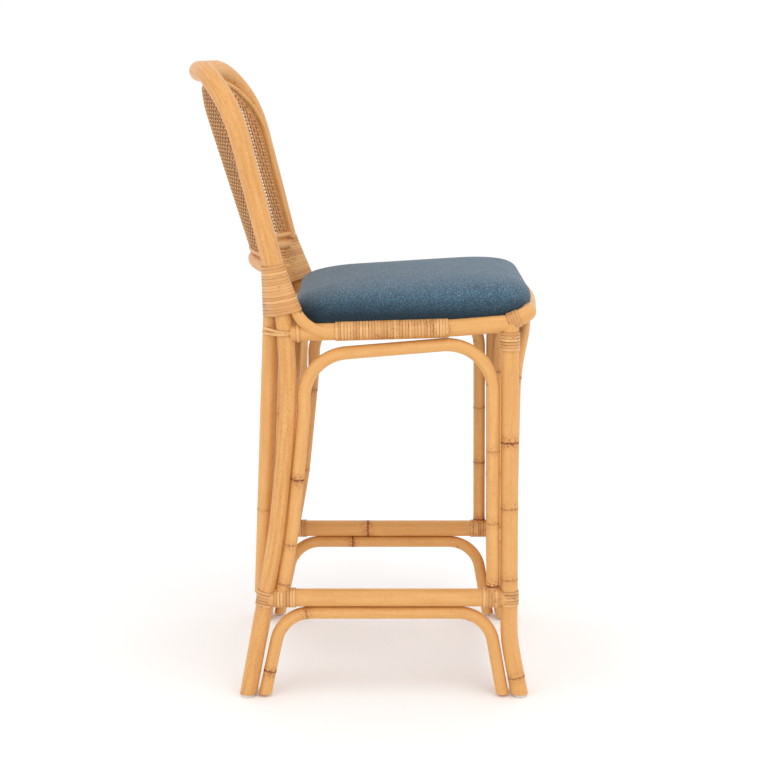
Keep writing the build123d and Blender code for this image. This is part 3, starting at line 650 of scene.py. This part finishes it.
# ---------------------------------------------------------------- finishes
def grained(finish, round_scale):
    """Noise drawn out along a pole or a strip, the place across it, and the tint of the piece."""
    along, tint = finish.attribute("along"), finish.attribute("tint")
    circle = finish.stretched(finish.attribute("round", 1), (round_scale, round_scale, 0.0))
    first = finish.node("ShaderNodeSeparateXYZ", None, {0: circle})
    second = Value(finish, first.socket.node.outputs[1])

    def noise(stretch, scale, detail=3.0, roughness=0.6):
        place = finish.node("ShaderNodeCombineXYZ", None, {
            "X": along * stretch + tint * 37.0, "Y": first, "Z": second})
        return finish.noise(place, scale, detail, roughness)

    return noise, first, second, tint


def skin_finish(name, sizes, peeled):
    """Rattan: long grain, hairline cracks across it, specks, and stained rings at the nodes."""
    finish = Finish(name)
    noise, _, _, tint = grained(finish, 60.0)
    long_grain = noise(4.0, 3.0, 4.0)
    fine_grain = noise(16.0, 12.0, 3.0, 0.65)
    cloud = noise(30.0, 0.8)
    cracks = noise(700.0, 1.2, 2.0, 0.7)
    speck = noise(240.0, 4.2, 3.0, 0.75)
    patch = noise(46.0, 1.3, 2.0, 0.5)
    broken = noise(60.0, 5.0, 2.0)
    spread = 0.85 if peeled else 0.45
    colour_now = finish.blend(long_grain.clamped(0.36, 0.68) * spread, sizes.light, sizes.deep)
    colour_now = finish.blend(cloud.clamped(0.42, 0.75) * 0.35, colour_now, linear(216, 156, 84))
    colour_now = finish.blend(tint * 0.25, colour_now, sizes.deep)
    streak = fine_grain.clamped(0.48, 0.70) * (0.55 if peeled else 0.20)
    colour_now = finish.blend(streak, colour_now, linear(186, 120, 62))
    hairline = cracks.clamped(0.58, 0.70) * (0.05 if peeled else 0.22)
    colour_now = finish.blend(hairline, colour_now, linear(160, 100, 54))
    speckle = speck.clamped(0.61, 0.70) * patch.clamped(0.58, 0.70)
    colour_now = finish.blend(speckle * 0.8, colour_now, linear(158, 72, 34))
    ring, smear = finish.attribute("ring"), finish.attribute("smear")
    ring_mask = ring * (0.55 + broken.clamped(0.36, 0.62) * 0.45)
    stain = smear * broken.clamped(0.46, 0.60) * speck.clamped(0.40, 0.54)
    colour_now = finish.blend(smear * 0.22, colour_now, linear(196, 128, 66))
    colour_now = finish.blend(stain * 0.95, colour_now, linear(142, 54, 20))
    colour_now = finish.blend(ring_mask, colour_now, sizes.mark)
    height = long_grain * 0.3 + fine_grain * 0.3 + cracks * 0.25 - ring_mask * 0.8
    return finish.surface(
        Base_Color=colour_now, Roughness=0.38 + fine_grain * 0.16 + ring_mask * 0.2,
        Normal=finish.bump(height, 0.35, 0.0005), Coat_Weight=0.15, Coat_Roughness=0.3,
        Specular_IOR_Level=0.4)


def binding_finish(sizes):
    """Peeled cane: each turn has its own tint, with fine lines, brown specks and painted shade along its
    edges.
    """
    finish = Finish("binding cane")
    noise, across, _, tint = grained(finish, 300.0)
    place = finish.object_place()
    lines = noise(12.0, 3.0)
    shade = finish.blend(tint.clamped(0.0, 1.0), linear(232, 178, 112), linear(208, 148, 86))
    shade = finish.blend(lines.clamped(0.45, 0.7) * 0.35, shade, linear(186, 122, 66))
    patch = finish.noise(place, 46.0, 3.0, 0.6)
    speck = finish.noise(place, 520.0, 3.0, 0.7)
    specks = patch.clamped(0.53, 0.60) * speck.clamped(0.53, 0.60)
    shade = finish.blend(specks * 0.85, shade, sizes.mark)
    # painted shade in the grooves between turns: the edges of each strip darkened toward brown
    edge = finish.node("ShaderNodeMath", {"operation": "ABSOLUTE"}, {0: across}).clamped(0.60, 0.78)
    shade = finish.blend(edge * 0.7, shade, linear(120, 66, 32))
    return finish.surface(
        Base_Color=shade, Roughness=0.38 + lines * 0.15, Normal=finish.bump(lines * 0.4, 0.3, 0.0003),
        Coat_Weight=0.15, Coat_Roughness=0.3)


def strand_finish(sizes):
    """Woven cane, with painted shade that makes the upright strands darker on the front of the panel."""
    finish = Finish("woven cane")
    noise, _, through, tint = grained(finish, 300.0)
    lines = noise(20.0, 3.0)
    # painted shade: the front face of each strand takes the dark upright colour, the back face only a
    # tenth of it
    front = 1.0 - through.clamped(-0.05, 0.05)
    shade = finish.blend(tint.clamped(0.1, 0.9) * (0.10 + front * 0.90), sizes.strand_colour,
                         sizes.upright_shade_colour)
    shade = finish.blend(lines.clamped(0.48, 0.7) * 0.35, shade, linear(150, 92, 50))
    return finish.surface(Base_Color=shade, Roughness=0.45 + lines * 0.15,
                          Normal=finish.bump(lines, 0.3, 0.0002))


def fabric_finish(sizes):
    """A plain heathered weave of dark and pale yarns, with painted shade that darkens it toward the
    skirt.
    """
    finish = Finish("seat fabric")
    place = finish.object_place()
    threads = finish.noise(finish.stretched(place, (1.0, 1.8, 1.8)), 400.0, 4.0, 0.8)
    cross = finish.noise(finish.stretched(place, (1.8, 1.0, 1.8)), 360.0, 4.0, 0.8)
    cloud = finish.noise(place, 60.0, 3.0, 0.6)
    shade = finish.blend(threads.clamped(0.47, 0.62), sizes.yarn, sizes.pale_yarn)
    shade = finish.blend(cross.clamped(0.47, 0.62) * 0.75, shade, sizes.dark_yarn_and_shade)
    shade = finish.blend(cloud.clamped(0.4, 0.7) * 0.16, shade, sizes.dark_yarn_and_shade)
    level = finish.node("ShaderNodeSeparateXYZ", None, {0: place}, 2)
    # painted shade: below the cushion's widest level the colour blends into the dark yarn colour, darker
    # toward the bottom
    shade = finish.blend(0.85 - level.clamped(0.668, 0.712) * 0.85, shade, sizes.dark_yarn_and_shade)
    relief = threads * 0.5 + cross * 0.5
    return finish.surface(Base_Color=shade, Roughness=0.95, Normal=finish.bump(relief, 0.5, 0.0006),
                          Sheen_Weight=0.22, Sheen_Roughness=0.5, Specular_IOR_Level=0.1)


def plain_finish(name, base, dark, scale, roughness, stretch=(1.0, 1.0, 1.0), metallic=0.0):
    """Turned, moulded or sheet stock with a fine variation over its surface."""
    finish = Finish(name)
    place = finish.stretched(finish.object_place(), stretch)
    fine = finish.noise(place, scale, 4.0, 0.6)
    shade = finish.blend(fine.clamped(0.35, 0.7), linear(*base), linear(*dark))
    return finish.surface(Base_Color=shade, Roughness=roughness + fine * 0.12, Metallic=metallic,
                          Normal=finish.bump(fine, 0.2, 0.0003))


BEECH = ((214, 178, 132), (190, 150, 104), 60.0, 0.6)
FITTINGS = {
    "glide": ("glide plastic", (240, 240, 238), (226, 226, 222), 400.0, 0.42),
    "joint_dowel": ("dowel beech", *BEECH, (8.0, 8.0, 1.0)),
    "rail_dowel": ("rail dowel beech", *BEECH, (8.0, 1.0, 8.0)),
    "seat_screw": ("zinc screw", (180, 178, 172), (140, 138, 132), 700.0, 0.35, (1.0, 1.0, 1.0), 1.0),
    "seat_board": ("plywood", (206, 174, 126), (180, 144, 98), 40.0, 0.7, (1.0, 6.0, 24.0)),
}


# ---------------------------------------------------------------- bindings
def hull_loop(circles, count=56):
    """The outline of a strip pulled tight round circles in a plane, by direction."""
    loop = []
    for k in range(count):
        angle = 2 * math.pi * k / count
        ux, uy = math.cos(angle), math.sin(angle)
        x, y, radius = max(circles, key=lambda c: c[0] * ux + c[1] * uy + c[2])
        loop.append((x + radius * ux, y + radius * uy))
    return loop


def empty_store():
    return {"lines": [], "along": [], "tint": [], "size": [], "across": []}


def add_strip(store, line, across, tint, size=1.0):
    """One strip along a line of points, with its arrow across the strip."""
    store["lines"].append(line)
    store["along"].extend(lengths_along(line))
    for key, value in (("tint", tint), ("size", size), ("across", across)):
        store[key].extend([value] * len(line))


def add_turn(store, loop, tint, size=1.0):
    """One closed turn of strip."""
    centre = sum(loop, Vector()) / len(loop)
    across = (loop[0] - centre).cross(loop[len(loop) // 4] - centre).normalized()
    add_strip(store, loop, tuple(across), tint, size)


def strips(name, store, closed, **inputs):
    """The strips of a store as one finished mesh."""
    values = {key: store[key] for key in ("along", "tint", "size")}
    source = line_object(name, store["lines"], values, closed, {"across": store["across"]})
    return shaped(source, strip_tree(), **inputs)


def turn_count(span, pitch):
    return max(1, round(span / pitch))


def post_turns(store, cover, side, sizes, rng):
    """Turns round the foot of a back post, its leg, the stay and the brace, which draw in upward."""
    low_z, top_z = SEAT + 0.028, SEAT + 0.111
    count = turn_count(top_z - low_z, sizes.pitch)
    low = hull_loop([(0.0, rear_leg_y(low_z) + 0.002, REAR_LEG / 2 + cover),
                     (STAY_X - SIDE, REAR + STAY_SET, STAY / 2 + cover),
                     (BRACE_OUT, REAR - 0.009, BRACE / 2 + cover)])
    top = hull_loop([(0.0, post_y(top_z), HOOP / 2 + cover)])
    for k in range(count):
        share = (k + 0.5) / count
        tilt = math.radians(14.0 - 6.0 * share)
        height = low_z + (top_z - low_z) * share
        wobble = rng.uniform(-0.25, 0.25)
        loop = []
        for (ax, ay), (bx, by) in zip(low, top):
            x, y = ax + (bx - ax) * share, ay + (by - ay) * share
            rise = -math.tan(tilt + math.radians(wobble)) * (y - REAR)
            loop.append(Vector((side * (SIDE + x), y, height + rise)))
        add_turn(store, loop, rng.random(), 1.07)


def pole_turns(store, circles, origin, axis, first, span, side, sizes, rng):
    """Turns round poles that run along axis: circles are (u, v, radius) off a moving origin."""
    count = turn_count(span, sizes.pitch)
    direction = Vector(axis).normalized()
    if abs(direction.z) > 0.9:
        u = Vector((1, 0, 0))
    else:
        u = Vector((0, 0, 1)).cross(direction).normalized()
        u = u if u.x + u.y > 0 else -u
    v = direction.cross(u).normalized()
    flat = hull_loop(circles)
    for k in range(count):
        centre = Vector(origin) + direction * (first + span * (k + 0.5) / count)
        lean = math.radians(rng.uniform(-0.8, 0.8))
        loop = []
        for a, b in flat:
            point = centre + u * a + v * b + direction * (math.tan(lean) * a)
            loop.append(Vector((side * point.x, point.y, point.z)))
        add_turn(store, loop, rng.random())


def rail_turns(store, cover, side, sizes, rng):
    rear, bend = (Vector(p) for p in rail_points(1)[:2])
    axis = (bend - rear).normalized()
    start = (rear.y - (FRONT + RAIL_WRAP_REACH)) / -axis.y
    circles = [(0.0, 0.0, SIDE_RAIL / 2 + cover), (BRACE_OUT, 0.0, BRACE / 2 + cover)]
    pole_turns(store, circles, rear, axis, start, RAIL_WRAP_SPAN / -axis.y, side, sizes, rng)


def saddle_turns(store, cover, side, sizes, rng):
    start = Vector((SIDE, FRONT + 0.0034, SEAT + 0.0105))
    axis = Vector((SIDE, FRONT - 0.030, SEAT + 0.0245)) - start
    ring = [(0.0, 0.0, CROSS_SEAT_RAIL / 2 + cover)]
    pole_turns(store, ring, start, axis, 0.0005, 0.020, side, sizes, rng)


def leg_turns(store, cover, side, sizes, rng):
    low = Vector((SIDE, front_leg_y(SEAT - 0.037), SEAT - 0.037))
    axis = Vector((SIDE, front_leg_y(SEAT), SEAT)) - low
    pole_turns(store, [(0.0, 0.0, FRONT_LEG / 2 + cover)], low, axis, 0.0, 0.032, side, sizes, rng)


def ring_turns(store, cover, side, sizes, rng, rear):
    """A collar round a leg, and a sleeve on each of the two stretchers that meet it."""
    leg_y, leg_d, sleeve = (rear_leg_y, REAR_LEG, 0.038) if rear else (front_leg_y, FRONT_LEG, 0.031)
    half = 0.0135
    low, centre, high = (Vector((SIDE, leg_y(z), z)) for z in (RING - half, RING, RING + half))
    pole_turns(store, [(0.0, 0.0, leg_d / 2 + cover)], low, high - low, 0.0, 2 * half, side, sizes, rng)
    ring = [(0.0, 0.0, STRETCHER / 2 + cover)]
    for axis, span in (((0, -1 if rear else 1, 0), sleeve), ((-1, 0, 0), 0.026)):
        pole_turns(store, ring, centre, axis, leg_d / 2, span, side, sizes, rng)


def tie_turns(store, cover, side, sizes, rng):
    """Two loose strips that cross round the rear leg and the stay, and one round the rail's end."""
    lift = SKIN
    for height, tilt in ((0.6445, 4.0), (0.6435, -6.0)):
        flat = hull_loop([(0.0, rear_leg_y(height), REAR_LEG / 2 + lift),
                          (STAY_X - SIDE, REAR + STAY_SET, STAY / 2 + lift)])
        loop = [Vector((side * (SIDE + x), y, height + math.tan(math.radians(tilt)) * (y - REAR)))
                for x, y in flat]
        add_turn(store, loop, rng.random())
        lift += sizes.thickness * 0.6
    rear, bend = (Vector(p) for p in rail_points(1)[:2])
    ring = [(0.0, 0.0, SIDE_RAIL / 2 + cover)]
    pole_turns(store, ring, rear, bend - rear, 0.010, 0.005, side, sizes, rng)


# ---------------------------------------------------------------- woven panel
def panel_point(x, z):
    """The middle of the cane panel's thickness."""
    low_z, top_z = SEAT + 0.1085, INNER_TOP
    share = (z - low_z) / (top_z - low_z)
    edge = post_y(z) - 0.006
    sag = (0.0505 + 0.006) + (0.0695 - 0.0505) * share - 0.008 * max(0.0, (share - 0.8) / 0.2) ** 2
    radius = (INNER_X * INNER_X + sag * sag) / (2 * sag)
    return Vector((x, edge + sag - radius + math.sqrt(radius * radius - x * x), z))


def panel_half_width(z):
    """Half the panel's width at a height, within the thin hoop's round corners."""
    half = INNER_X - INNER_HOOP * 0.35
    top = INNER_TOP - INNER_HOOP * 0.35
    drop = z - (top - PANEL_CORNER)
    if drop <= 0:
        return half
    return half - PANEL_CORNER + math.sqrt(max(0.0, PANEL_CORNER ** 2 - drop * drop))


def weave_store(sizes):
    """Every strand of the panel, over and under its neighbours by turns."""
    store = empty_store()
    rng = random.Random(7)
    low, top = PANEL_FOOT_Z, INNER_TOP - INNER_HOOP * 0.35
    rows = int((top - low) / sizes.pitch)
    columns = int(INNER_X / sizes.pitch)
    lift = sizes.strand_thickness * 0.62

    for row in range(rows):
        z = top - sizes.pitch * (row + 0.35)
        half = panel_half_width(z)
        places = [panel_point(-half, z)]
        for column in range(-columns, columns + 1):
            x = column * sizes.pitch
            if abs(x) < half - sizes.pitch * 0.3:
                over = 1 if (row + column) % 2 else -1
                places.append(panel_point(x, z) + Vector((0, over * lift, 0)))
        places.append(panel_point(half, z))
        add_strip(store, places, (0, 0, 1), 0.4 * rng.random())
    for column in range(-columns, columns + 1):
        x = column * sizes.pitch
        places = [panel_point(x, low)]
        for row in reversed(range(rows)):
            z = top - sizes.pitch * (row + 0.35)
            if panel_half_width(z) > abs(x) + sizes.pitch * 0.2:
                over = -1 if (row + column) % 2 else 1
                places.append(panel_point(x, z) + Vector((0, over * lift, 0)))
        # a high tint gives the upright strands most of the painted shade colour
        tint = 0.7 + 0.3 * rng.random()
        if len(places) > 1:
            add_strip(store, places, (1, 0, 0), tint, sizes.upright)
    return store


# ---------------------------------------------------------------- seat
def rounded_reach(angle, half_x, half_y, corner):
    """How far a rounded rectangle reaches from its middle in a direction."""
    ux, uy = abs(math.cos(angle)), abs(math.sin(angle))
    inner_x, inner_y = half_x - corner, half_y - corner
    straight = min(half_x / ux if ux > 0.001 else 9.0, half_y / uy if uy > 0.001 else 9.0)
    if straight * ux <= inner_x or straight * uy <= inner_y:
        return straight
    along = inner_x * ux + inner_y * uy
    return along + math.sqrt(along * along - inner_x ** 2 - inner_y ** 2 + corner * corner)


def cushion_form(name, box, shrink):
    """A crowned cushion with a low waist and a flat base."""
    low, high = box
    middle_y, half_x = (low.y + high.y) / 2, (high.x - low.x) / 2 - shrink
    half_y = (high.y - low.y) / 2 - shrink
    base_z = low.z - 0.0015
    count, levels = 144, 30
    rings = []
    for level in range(1, 2 * levels):
        ring = []
        for k in range(count):
            angle = 2 * math.pi * k / count
            front = -math.sin(angle)
            if level <= levels:
                turn = math.pi / 2 * level / levels
                power = 3.0 + 0.5 * front
                across = math.sin(turn) ** (2 / power)
                rise = CROWN * math.cos(turn) ** (2 / power)
            else:
                turn = math.pi / 2 * (level - levels) / levels
                across = 1 - tuck(front) * (1 - math.cos(turn))
                rise = -WAIST * math.sin(turn)
            reach = rounded_reach(angle, half_x, half_y, CUSHION_CORNER) * across
            x, y = reach * math.cos(angle), reach * math.sin(angle)
            ring.append((x, middle_y + y, base_z + WAIST + rise - slant(y, rise)))
        rings.append(ring)
    obj = ring_object(name, rings, (0, middle_y, base_z + WAIST + CROWN), (0, middle_y, base_z))
    outward(obj.data)
    return obj


def tuck(front):
    """How far the cushion draws in below its waist, by how much a side faces front or rear."""
    return 0.002 + (0.10 if front > 0 else 0.045) * abs(front) ** 8


def skirted(mesh, box):
    """Holds the skirt out over the edge of the seat board."""
    low, high = box
    middle_y = (low.y + high.y) / 2
    for vertex in mesh.vertices:
        x, y = vertex.co.x, vertex.co.y - middle_y
        if vertex.co.z < low.z + WAIST - slant(y, 0.0):
            angle = math.atan2(y, x)
            reach = rounded_reach(angle, high.x + 0.0005, (high.y - low.y) / 2, CUSHION_CORNER)
            reach *= 1 - tuck(-math.sin(angle))
            if math.hypot(x, y) > 0.955 * reach:
                vertex.co.x, vertex.co.y = reach * math.cos(angle), middle_y + reach * math.sin(angle)


def slant(y, rise):
    """How much lower the cushion stands toward the rear, more so at its top."""
    return y * (0.031 + 0.022 * max(0.0, rise) / CROWN)


def only_selected(obj):
    bpy.ops.object.select_all(action="DESELECT")
    obj.select_set(True)
    bpy.context.view_layer.objects.active = obj


def applied(obj, kind, **settings):
    modifier = obj.modifiers.new(kind.lower(), kind)
    for name, value in settings.items():
        setattr(modifier, name, value)
    only_selected(obj)
    bpy.ops.object.modifier_apply(modifier=modifier.name)


def inflated(obj, sizes):
    """Swells the cushion like filled cloth, and keeps each point within the swell limit."""
    before = [v.co.copy() for v in obj.data.vertices]
    cloth = obj.modifiers.new("cloth", "CLOTH")
    settings = cloth.settings
    settings.quality = 6
    settings.use_pressure = True
    settings.uniform_pressure_force = sizes.pressure
    settings.effector_weights.gravity = 0.0
    settings.tension_stiffness = settings.compression_stiffness = 20.0
    cloth.collision_settings.use_collision = False
    cloth.point_cache.frame_start = 1
    cloth.point_cache.frame_end = 20
    scene = bpy.context.scene
    for number in range(1, 21):
        scene.frame_set(number)
    only_selected(obj)
    bpy.ops.object.modifier_apply(modifier=cloth.name)
    scene.frame_set(1)
    for vertex, start in zip(obj.data.vertices, before):
        move = vertex.co - start
        if move.length > sizes.cap:
            vertex.co = start + move * (sizes.cap / move.length)


# ---------------------------------------------------------------- operators
class STOOL_OT_poles(bpy.types.Operator):
    """Bends every rattan pole of the frame and of the back"""

    bl_idname = "stool.poles"
    bl_label = "Rattan poles"

    def execute(self, context):
        sizes = context.scene.stool_poles
        skin = skin_finish("rattan with its skin", sizes, False)
        peeled = skin_finish("peeled rattan", sizes, True)
        tree = pole_tree()
        routes = {name: (rounded(p, b), d) for name, (p, b, d) in middle_routes().items()}
        depth = post_y(SEAT + 0.115)
        routes["back_inner_rail"] = (bow((INNER_X, depth - INNER_SET, SEAT + 0.115),
                                         (0, depth + 0.049, SEAT + 0.115)), INNER_RAIL)
        depth = post_y(SEAT + 0.0965)
        routes["back_cross_rail"] = (bow((SIDE - 0.0104, depth, SEAT + 0.0965),
                                         (0, depth + 0.0485, SEAT + 0.0965)), CROSS_RAIL)
        for word, side in SIDES:
            for name, (points, bends, diameter) in side_routes(side).items():
                routes[f"{name}_{word}"] = (rounded(points, bends), diameter)
        rng = random.Random(3)
        for name, (line, diameter) in sorted(routes.items()):
            bare = name.startswith(PEELED) or name in ("back_inner_rail", "back_cross_rail")
            source = pole_line(name, line, rng.random())
            source.name = name + "_pole"
            pole = shaped(source, tree, Radius=diameter / 2, Swell=sizes.node_swell,
                          Facets=sizes.facets, Finish=peeled if bare else skin)
            if min(line[0].z, line[-1].z) < 0.1:
                cut_level(pole.data, line, GLIDE)
            seated(pole, "peeled_rattan" if bare else "skin_rattan", name)
        return {"FINISHED"}


class STOOL_OT_bindings(bpy.types.Operator):
    """Winds the flat cane strips round the joints"""

    bl_idname = "stool.bindings"
    bl_label = "Cane bindings"

    def execute(self, context):
        sizes = context.scene.stool_bindings
        finish = binding_finish(context.scene.stool_poles)
        windings = {
            "post_wrap": post_turns, "rail_wrap": rail_turns, "saddle_wrap": saddle_turns,
            "leg_wrap": leg_turns, "rear_tie": tie_turns,
            "ring_wrap_front": lambda *given: ring_turns(*given, False),
            "ring_wrap_rear": lambda *given: ring_turns(*given, True),
        }
        for number, (name, wind) in enumerate(windings.items()):
            for word, side in SIDES:
                rng = random.Random(20 + 2 * number + (side > 0))
                store = empty_store()
                wind(store, SKIN - sizes.thickness / 2, side, sizes, rng)
                cane = strips(f"{name}_{word}_cane", store, True, Width=sizes.pitch - sizes.gap,
                              Thickness=sizes.thickness, Facets=2, Finish=finish)
                seated(cane, "binding_cane", f"{name}_{word}")
        return {"FINISHED"}


class STOOL_OT_panel(bpy.types.Operator):
    """Weaves the open cane panel of the back"""

    bl_idname = "stool.cane_panel"
    bl_label = "Cane panel"

    def execute(self, context):
        sizes = context.scene.stool_weave
        store = weave_store(sizes)
        weave = strips("cane_panel_weave", store, False, Width=sizes.strand_width,
                       Thickness=sizes.strand_thickness, Facets=1, Finish=strand_finish(sizes))
        seated(weave, "woven_cane", "cane_panel")
        return {"FINISHED"}


class STOOL_OT_cushion(bpy.types.Operator):
    """Fills and covers the seat cushion"""

    bl_idname = "stool.cushion"
    bl_label = "Seat cushion"

    def execute(self, context):
        sizes = context.scene.stool_cushion
        cushion = cushion_form("seat_cushion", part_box("seat_cover"), 0.0005)
        applied(cushion, "REMESH", mode="VOXEL", voxel_size=sizes.voxel, use_smooth_shade=True)
        inflated(cushion, sizes)
        applied(cushion, "SMOOTH", factor=0.5, iterations=3)
        skirted(cushion.data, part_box("seat_cover"))
        applied(cushion, "SUBSURF", levels=1, render_levels=1)
        cushion.data.materials.clear()
        cushion.data.materials.append(fabric_finish(sizes))
        cushion.data.shade_smooth()
        outward(cushion.data)
        seated(cushion, "seat_fabric", "seat_cover", "seat_foam")
        return {"FINISHED"}


class STOOL_OT_dust_cover(bpy.types.Operator):
    """Stretches the dust cloth under the seat board"""

    bl_idname = "stool.dust_cover"
    bl_label = "Dust cloth"

    def execute(self, context):
        low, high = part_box("seat_dust_cover")
        half, depth = (high.x - low.x) / 2, high.y - low.y
        slope, slack = math.tan(math.radians(1.8)), 0.0015
        middle = (low + high) / 2
        outline = []
        for k in range(64):
            angle = 2 * math.pi * k / 64
            cx = math.copysign(half - CLOTH_CORNER, math.cos(angle))
            cy = math.copysign(depth / 2 - CLOTH_CORNER, math.sin(angle))
            outline.append((cx + CLOTH_CORNER * math.cos(angle), cy + CLOTH_CORNER * math.sin(angle)))
        shares = [ring / 14 for ring in range(1, 15)]
        rings = [[(x * share, middle.y + y * share,
                   middle.z - slope * y * share - slack * (1 - share * share)) for x, y in outline]
                 for share in shares]
        cloth = ring_object("dust_cloth", rings, (0, middle.y, middle.z - slack))
        applied(cloth, "SOLIDIFY", thickness=0.0006, offset=0.0)
        outward(cloth.data)
        cloth.data.materials.append(plain_finish("dust cloth", (34, 34, 36), (22, 22, 24), 900.0, 0.85))
        seated(cloth, "dust_cloth", "seat_dust_cover")
        return {"FINISHED"}


class STOOL_OT_hardware(bpy.types.Operator):
    """Paints the glides, screws, dowels and the seat board"""

    bl_idname = "stool.hardware"
    bl_label = "Fittings"

    def execute(self, context):
        for start, stock in FITTINGS.items():
            finish = plain_finish(*stock)
            for name, node in NODES.items():
                if name.startswith(start):
                    node.data.materials.clear()
                    node.data.materials.append(finish)
        return {"FINISHED"}


class STOOL_OT_stage(bpy.types.Operator):
    """Sets the pale floor, the soft lights and the camera"""

    bl_idname = "stool.stage"
    bl_label = "Stage"

    def execute(self, context):
        sizes = context.scene.stool_stage
        scene = context.scene
        shape = bmesh.new()
        bmesh.ops.create_grid(shape, x_segments=1, y_segments=1, size=12.0)
        mesh = bpy.data.meshes.new("floor")
        shape.to_mesh(mesh)
        shape.free()
        floor = placed("floor", mesh)
        paint = Finish("pale floor")
        mesh.materials.append(paint.surface(Base_Color=(0.99, 0.99, 0.99, 1.0), Roughness=0.9,
                                            Specular_IOR_Level=0.1))
        world = bpy.data.worlds.new("studio")
        world.use_nodes = True
        sky = world.node_tree.nodes["Background"].inputs
        sky["Color"].default_value = (1.0, 1.0, 1.0, 1.0)
        sky["Strength"].default_value = 1.04
        scene.world = world
        for name, place, size, power in (
            ("key light", (-1.6, -1.0, 3.2), 1.6, 16.0),
            ("fill light", (-2.2, 2.0, 2.4), 2.0, 6.0),
        ):
            light = bpy.data.lights.new(name, "AREA")
            light.size = size
            light.energy = power
            lamp = placed(name, light)
            lamp.location = place
            towards = Vector((0, 0, 0.5)) - Vector(place)
            lamp.rotation_euler = towards.to_track_quat("-Z", "Y").to_euler()
        lens = bpy.data.cameras.new("camera")
        lens.lens = sizes.lens
        lens.sensor_width = 36.0
        camera = placed("camera", lens)
        camera.location = (-sizes.camera_distance, REAR - sizes.camera_side, sizes.camera_height)
        camera.rotation_euler = Euler((math.radians(90) - sizes.camera_tilt, 0, math.radians(-90)))
        scene.camera = camera
        scene.view_settings.view_transform = "Standard"
        return {"FINISHED"}


class STOOL_PT_pieces(bpy.types.Panel):
    """The pieces of the stool and their sizes"""

    bl_idname = "STOOL_PT_pieces"
    bl_label = "Rattan bar stool"
    bl_space_type = "VIEW_3D"
    bl_region_type = "UI"
    bl_category = "Stool"

    def draw(self, context):
        for title, group, operator in PARTS:
            box = self.layout.box()
            box.label(text=title)
            if group:
                settings = getattr(context.scene, group)
                for name in settings.__annotations__:
                    box.prop(settings, name)
            box.operator(operator)


PARTS = (
    ("Poles", "stool_poles", "stool.poles"),
    ("Bindings", "stool_bindings", "stool.bindings"),
    ("Cane panel", "stool_weave", "stool.cane_panel"),
    ("Cushion", "stool_cushion", "stool.cushion"),
    ("Dust cloth", None, "stool.dust_cover"),
    ("Fittings", None, "stool.hardware"),
    ("Stage", "stool_stage", "stool.stage"),
)
GROUPS = {"stool_poles": PoleSettings, "stool_bindings": BindingSettings, "stool_weave": WeaveSettings,
          "stool_cushion": CushionSettings, "stool_stage": StageSettings}
CLASSES = (PoleSettings, BindingSettings, WeaveSettings, CushionSettings, StageSettings,
           STOOL_OT_poles, STOOL_OT_bindings, STOOL_OT_panel, STOOL_OT_cushion, STOOL_OT_dust_cover,
           STOOL_OT_hardware, STOOL_OT_stage, STOOL_PT_pieces)


def register():
    for cls in CLASSES:
        bpy.utils.register_class(cls)
    for name, group in GROUPS.items():
        setattr(bpy.types.Scene, name, PointerProperty(type=group))


def unregister():
    for name in GROUPS:
        delattr(bpy.types.Scene, name)
    for cls in reversed(CLASSES):
        bpy.utils.unregister_class(cls)


def main():
    register()
    for _, _, operator in PARTS:
        group, name = operator.split(".")
        getattr(getattr(bpy.ops, group), name)()


if __name__ == "__main__":
    main()
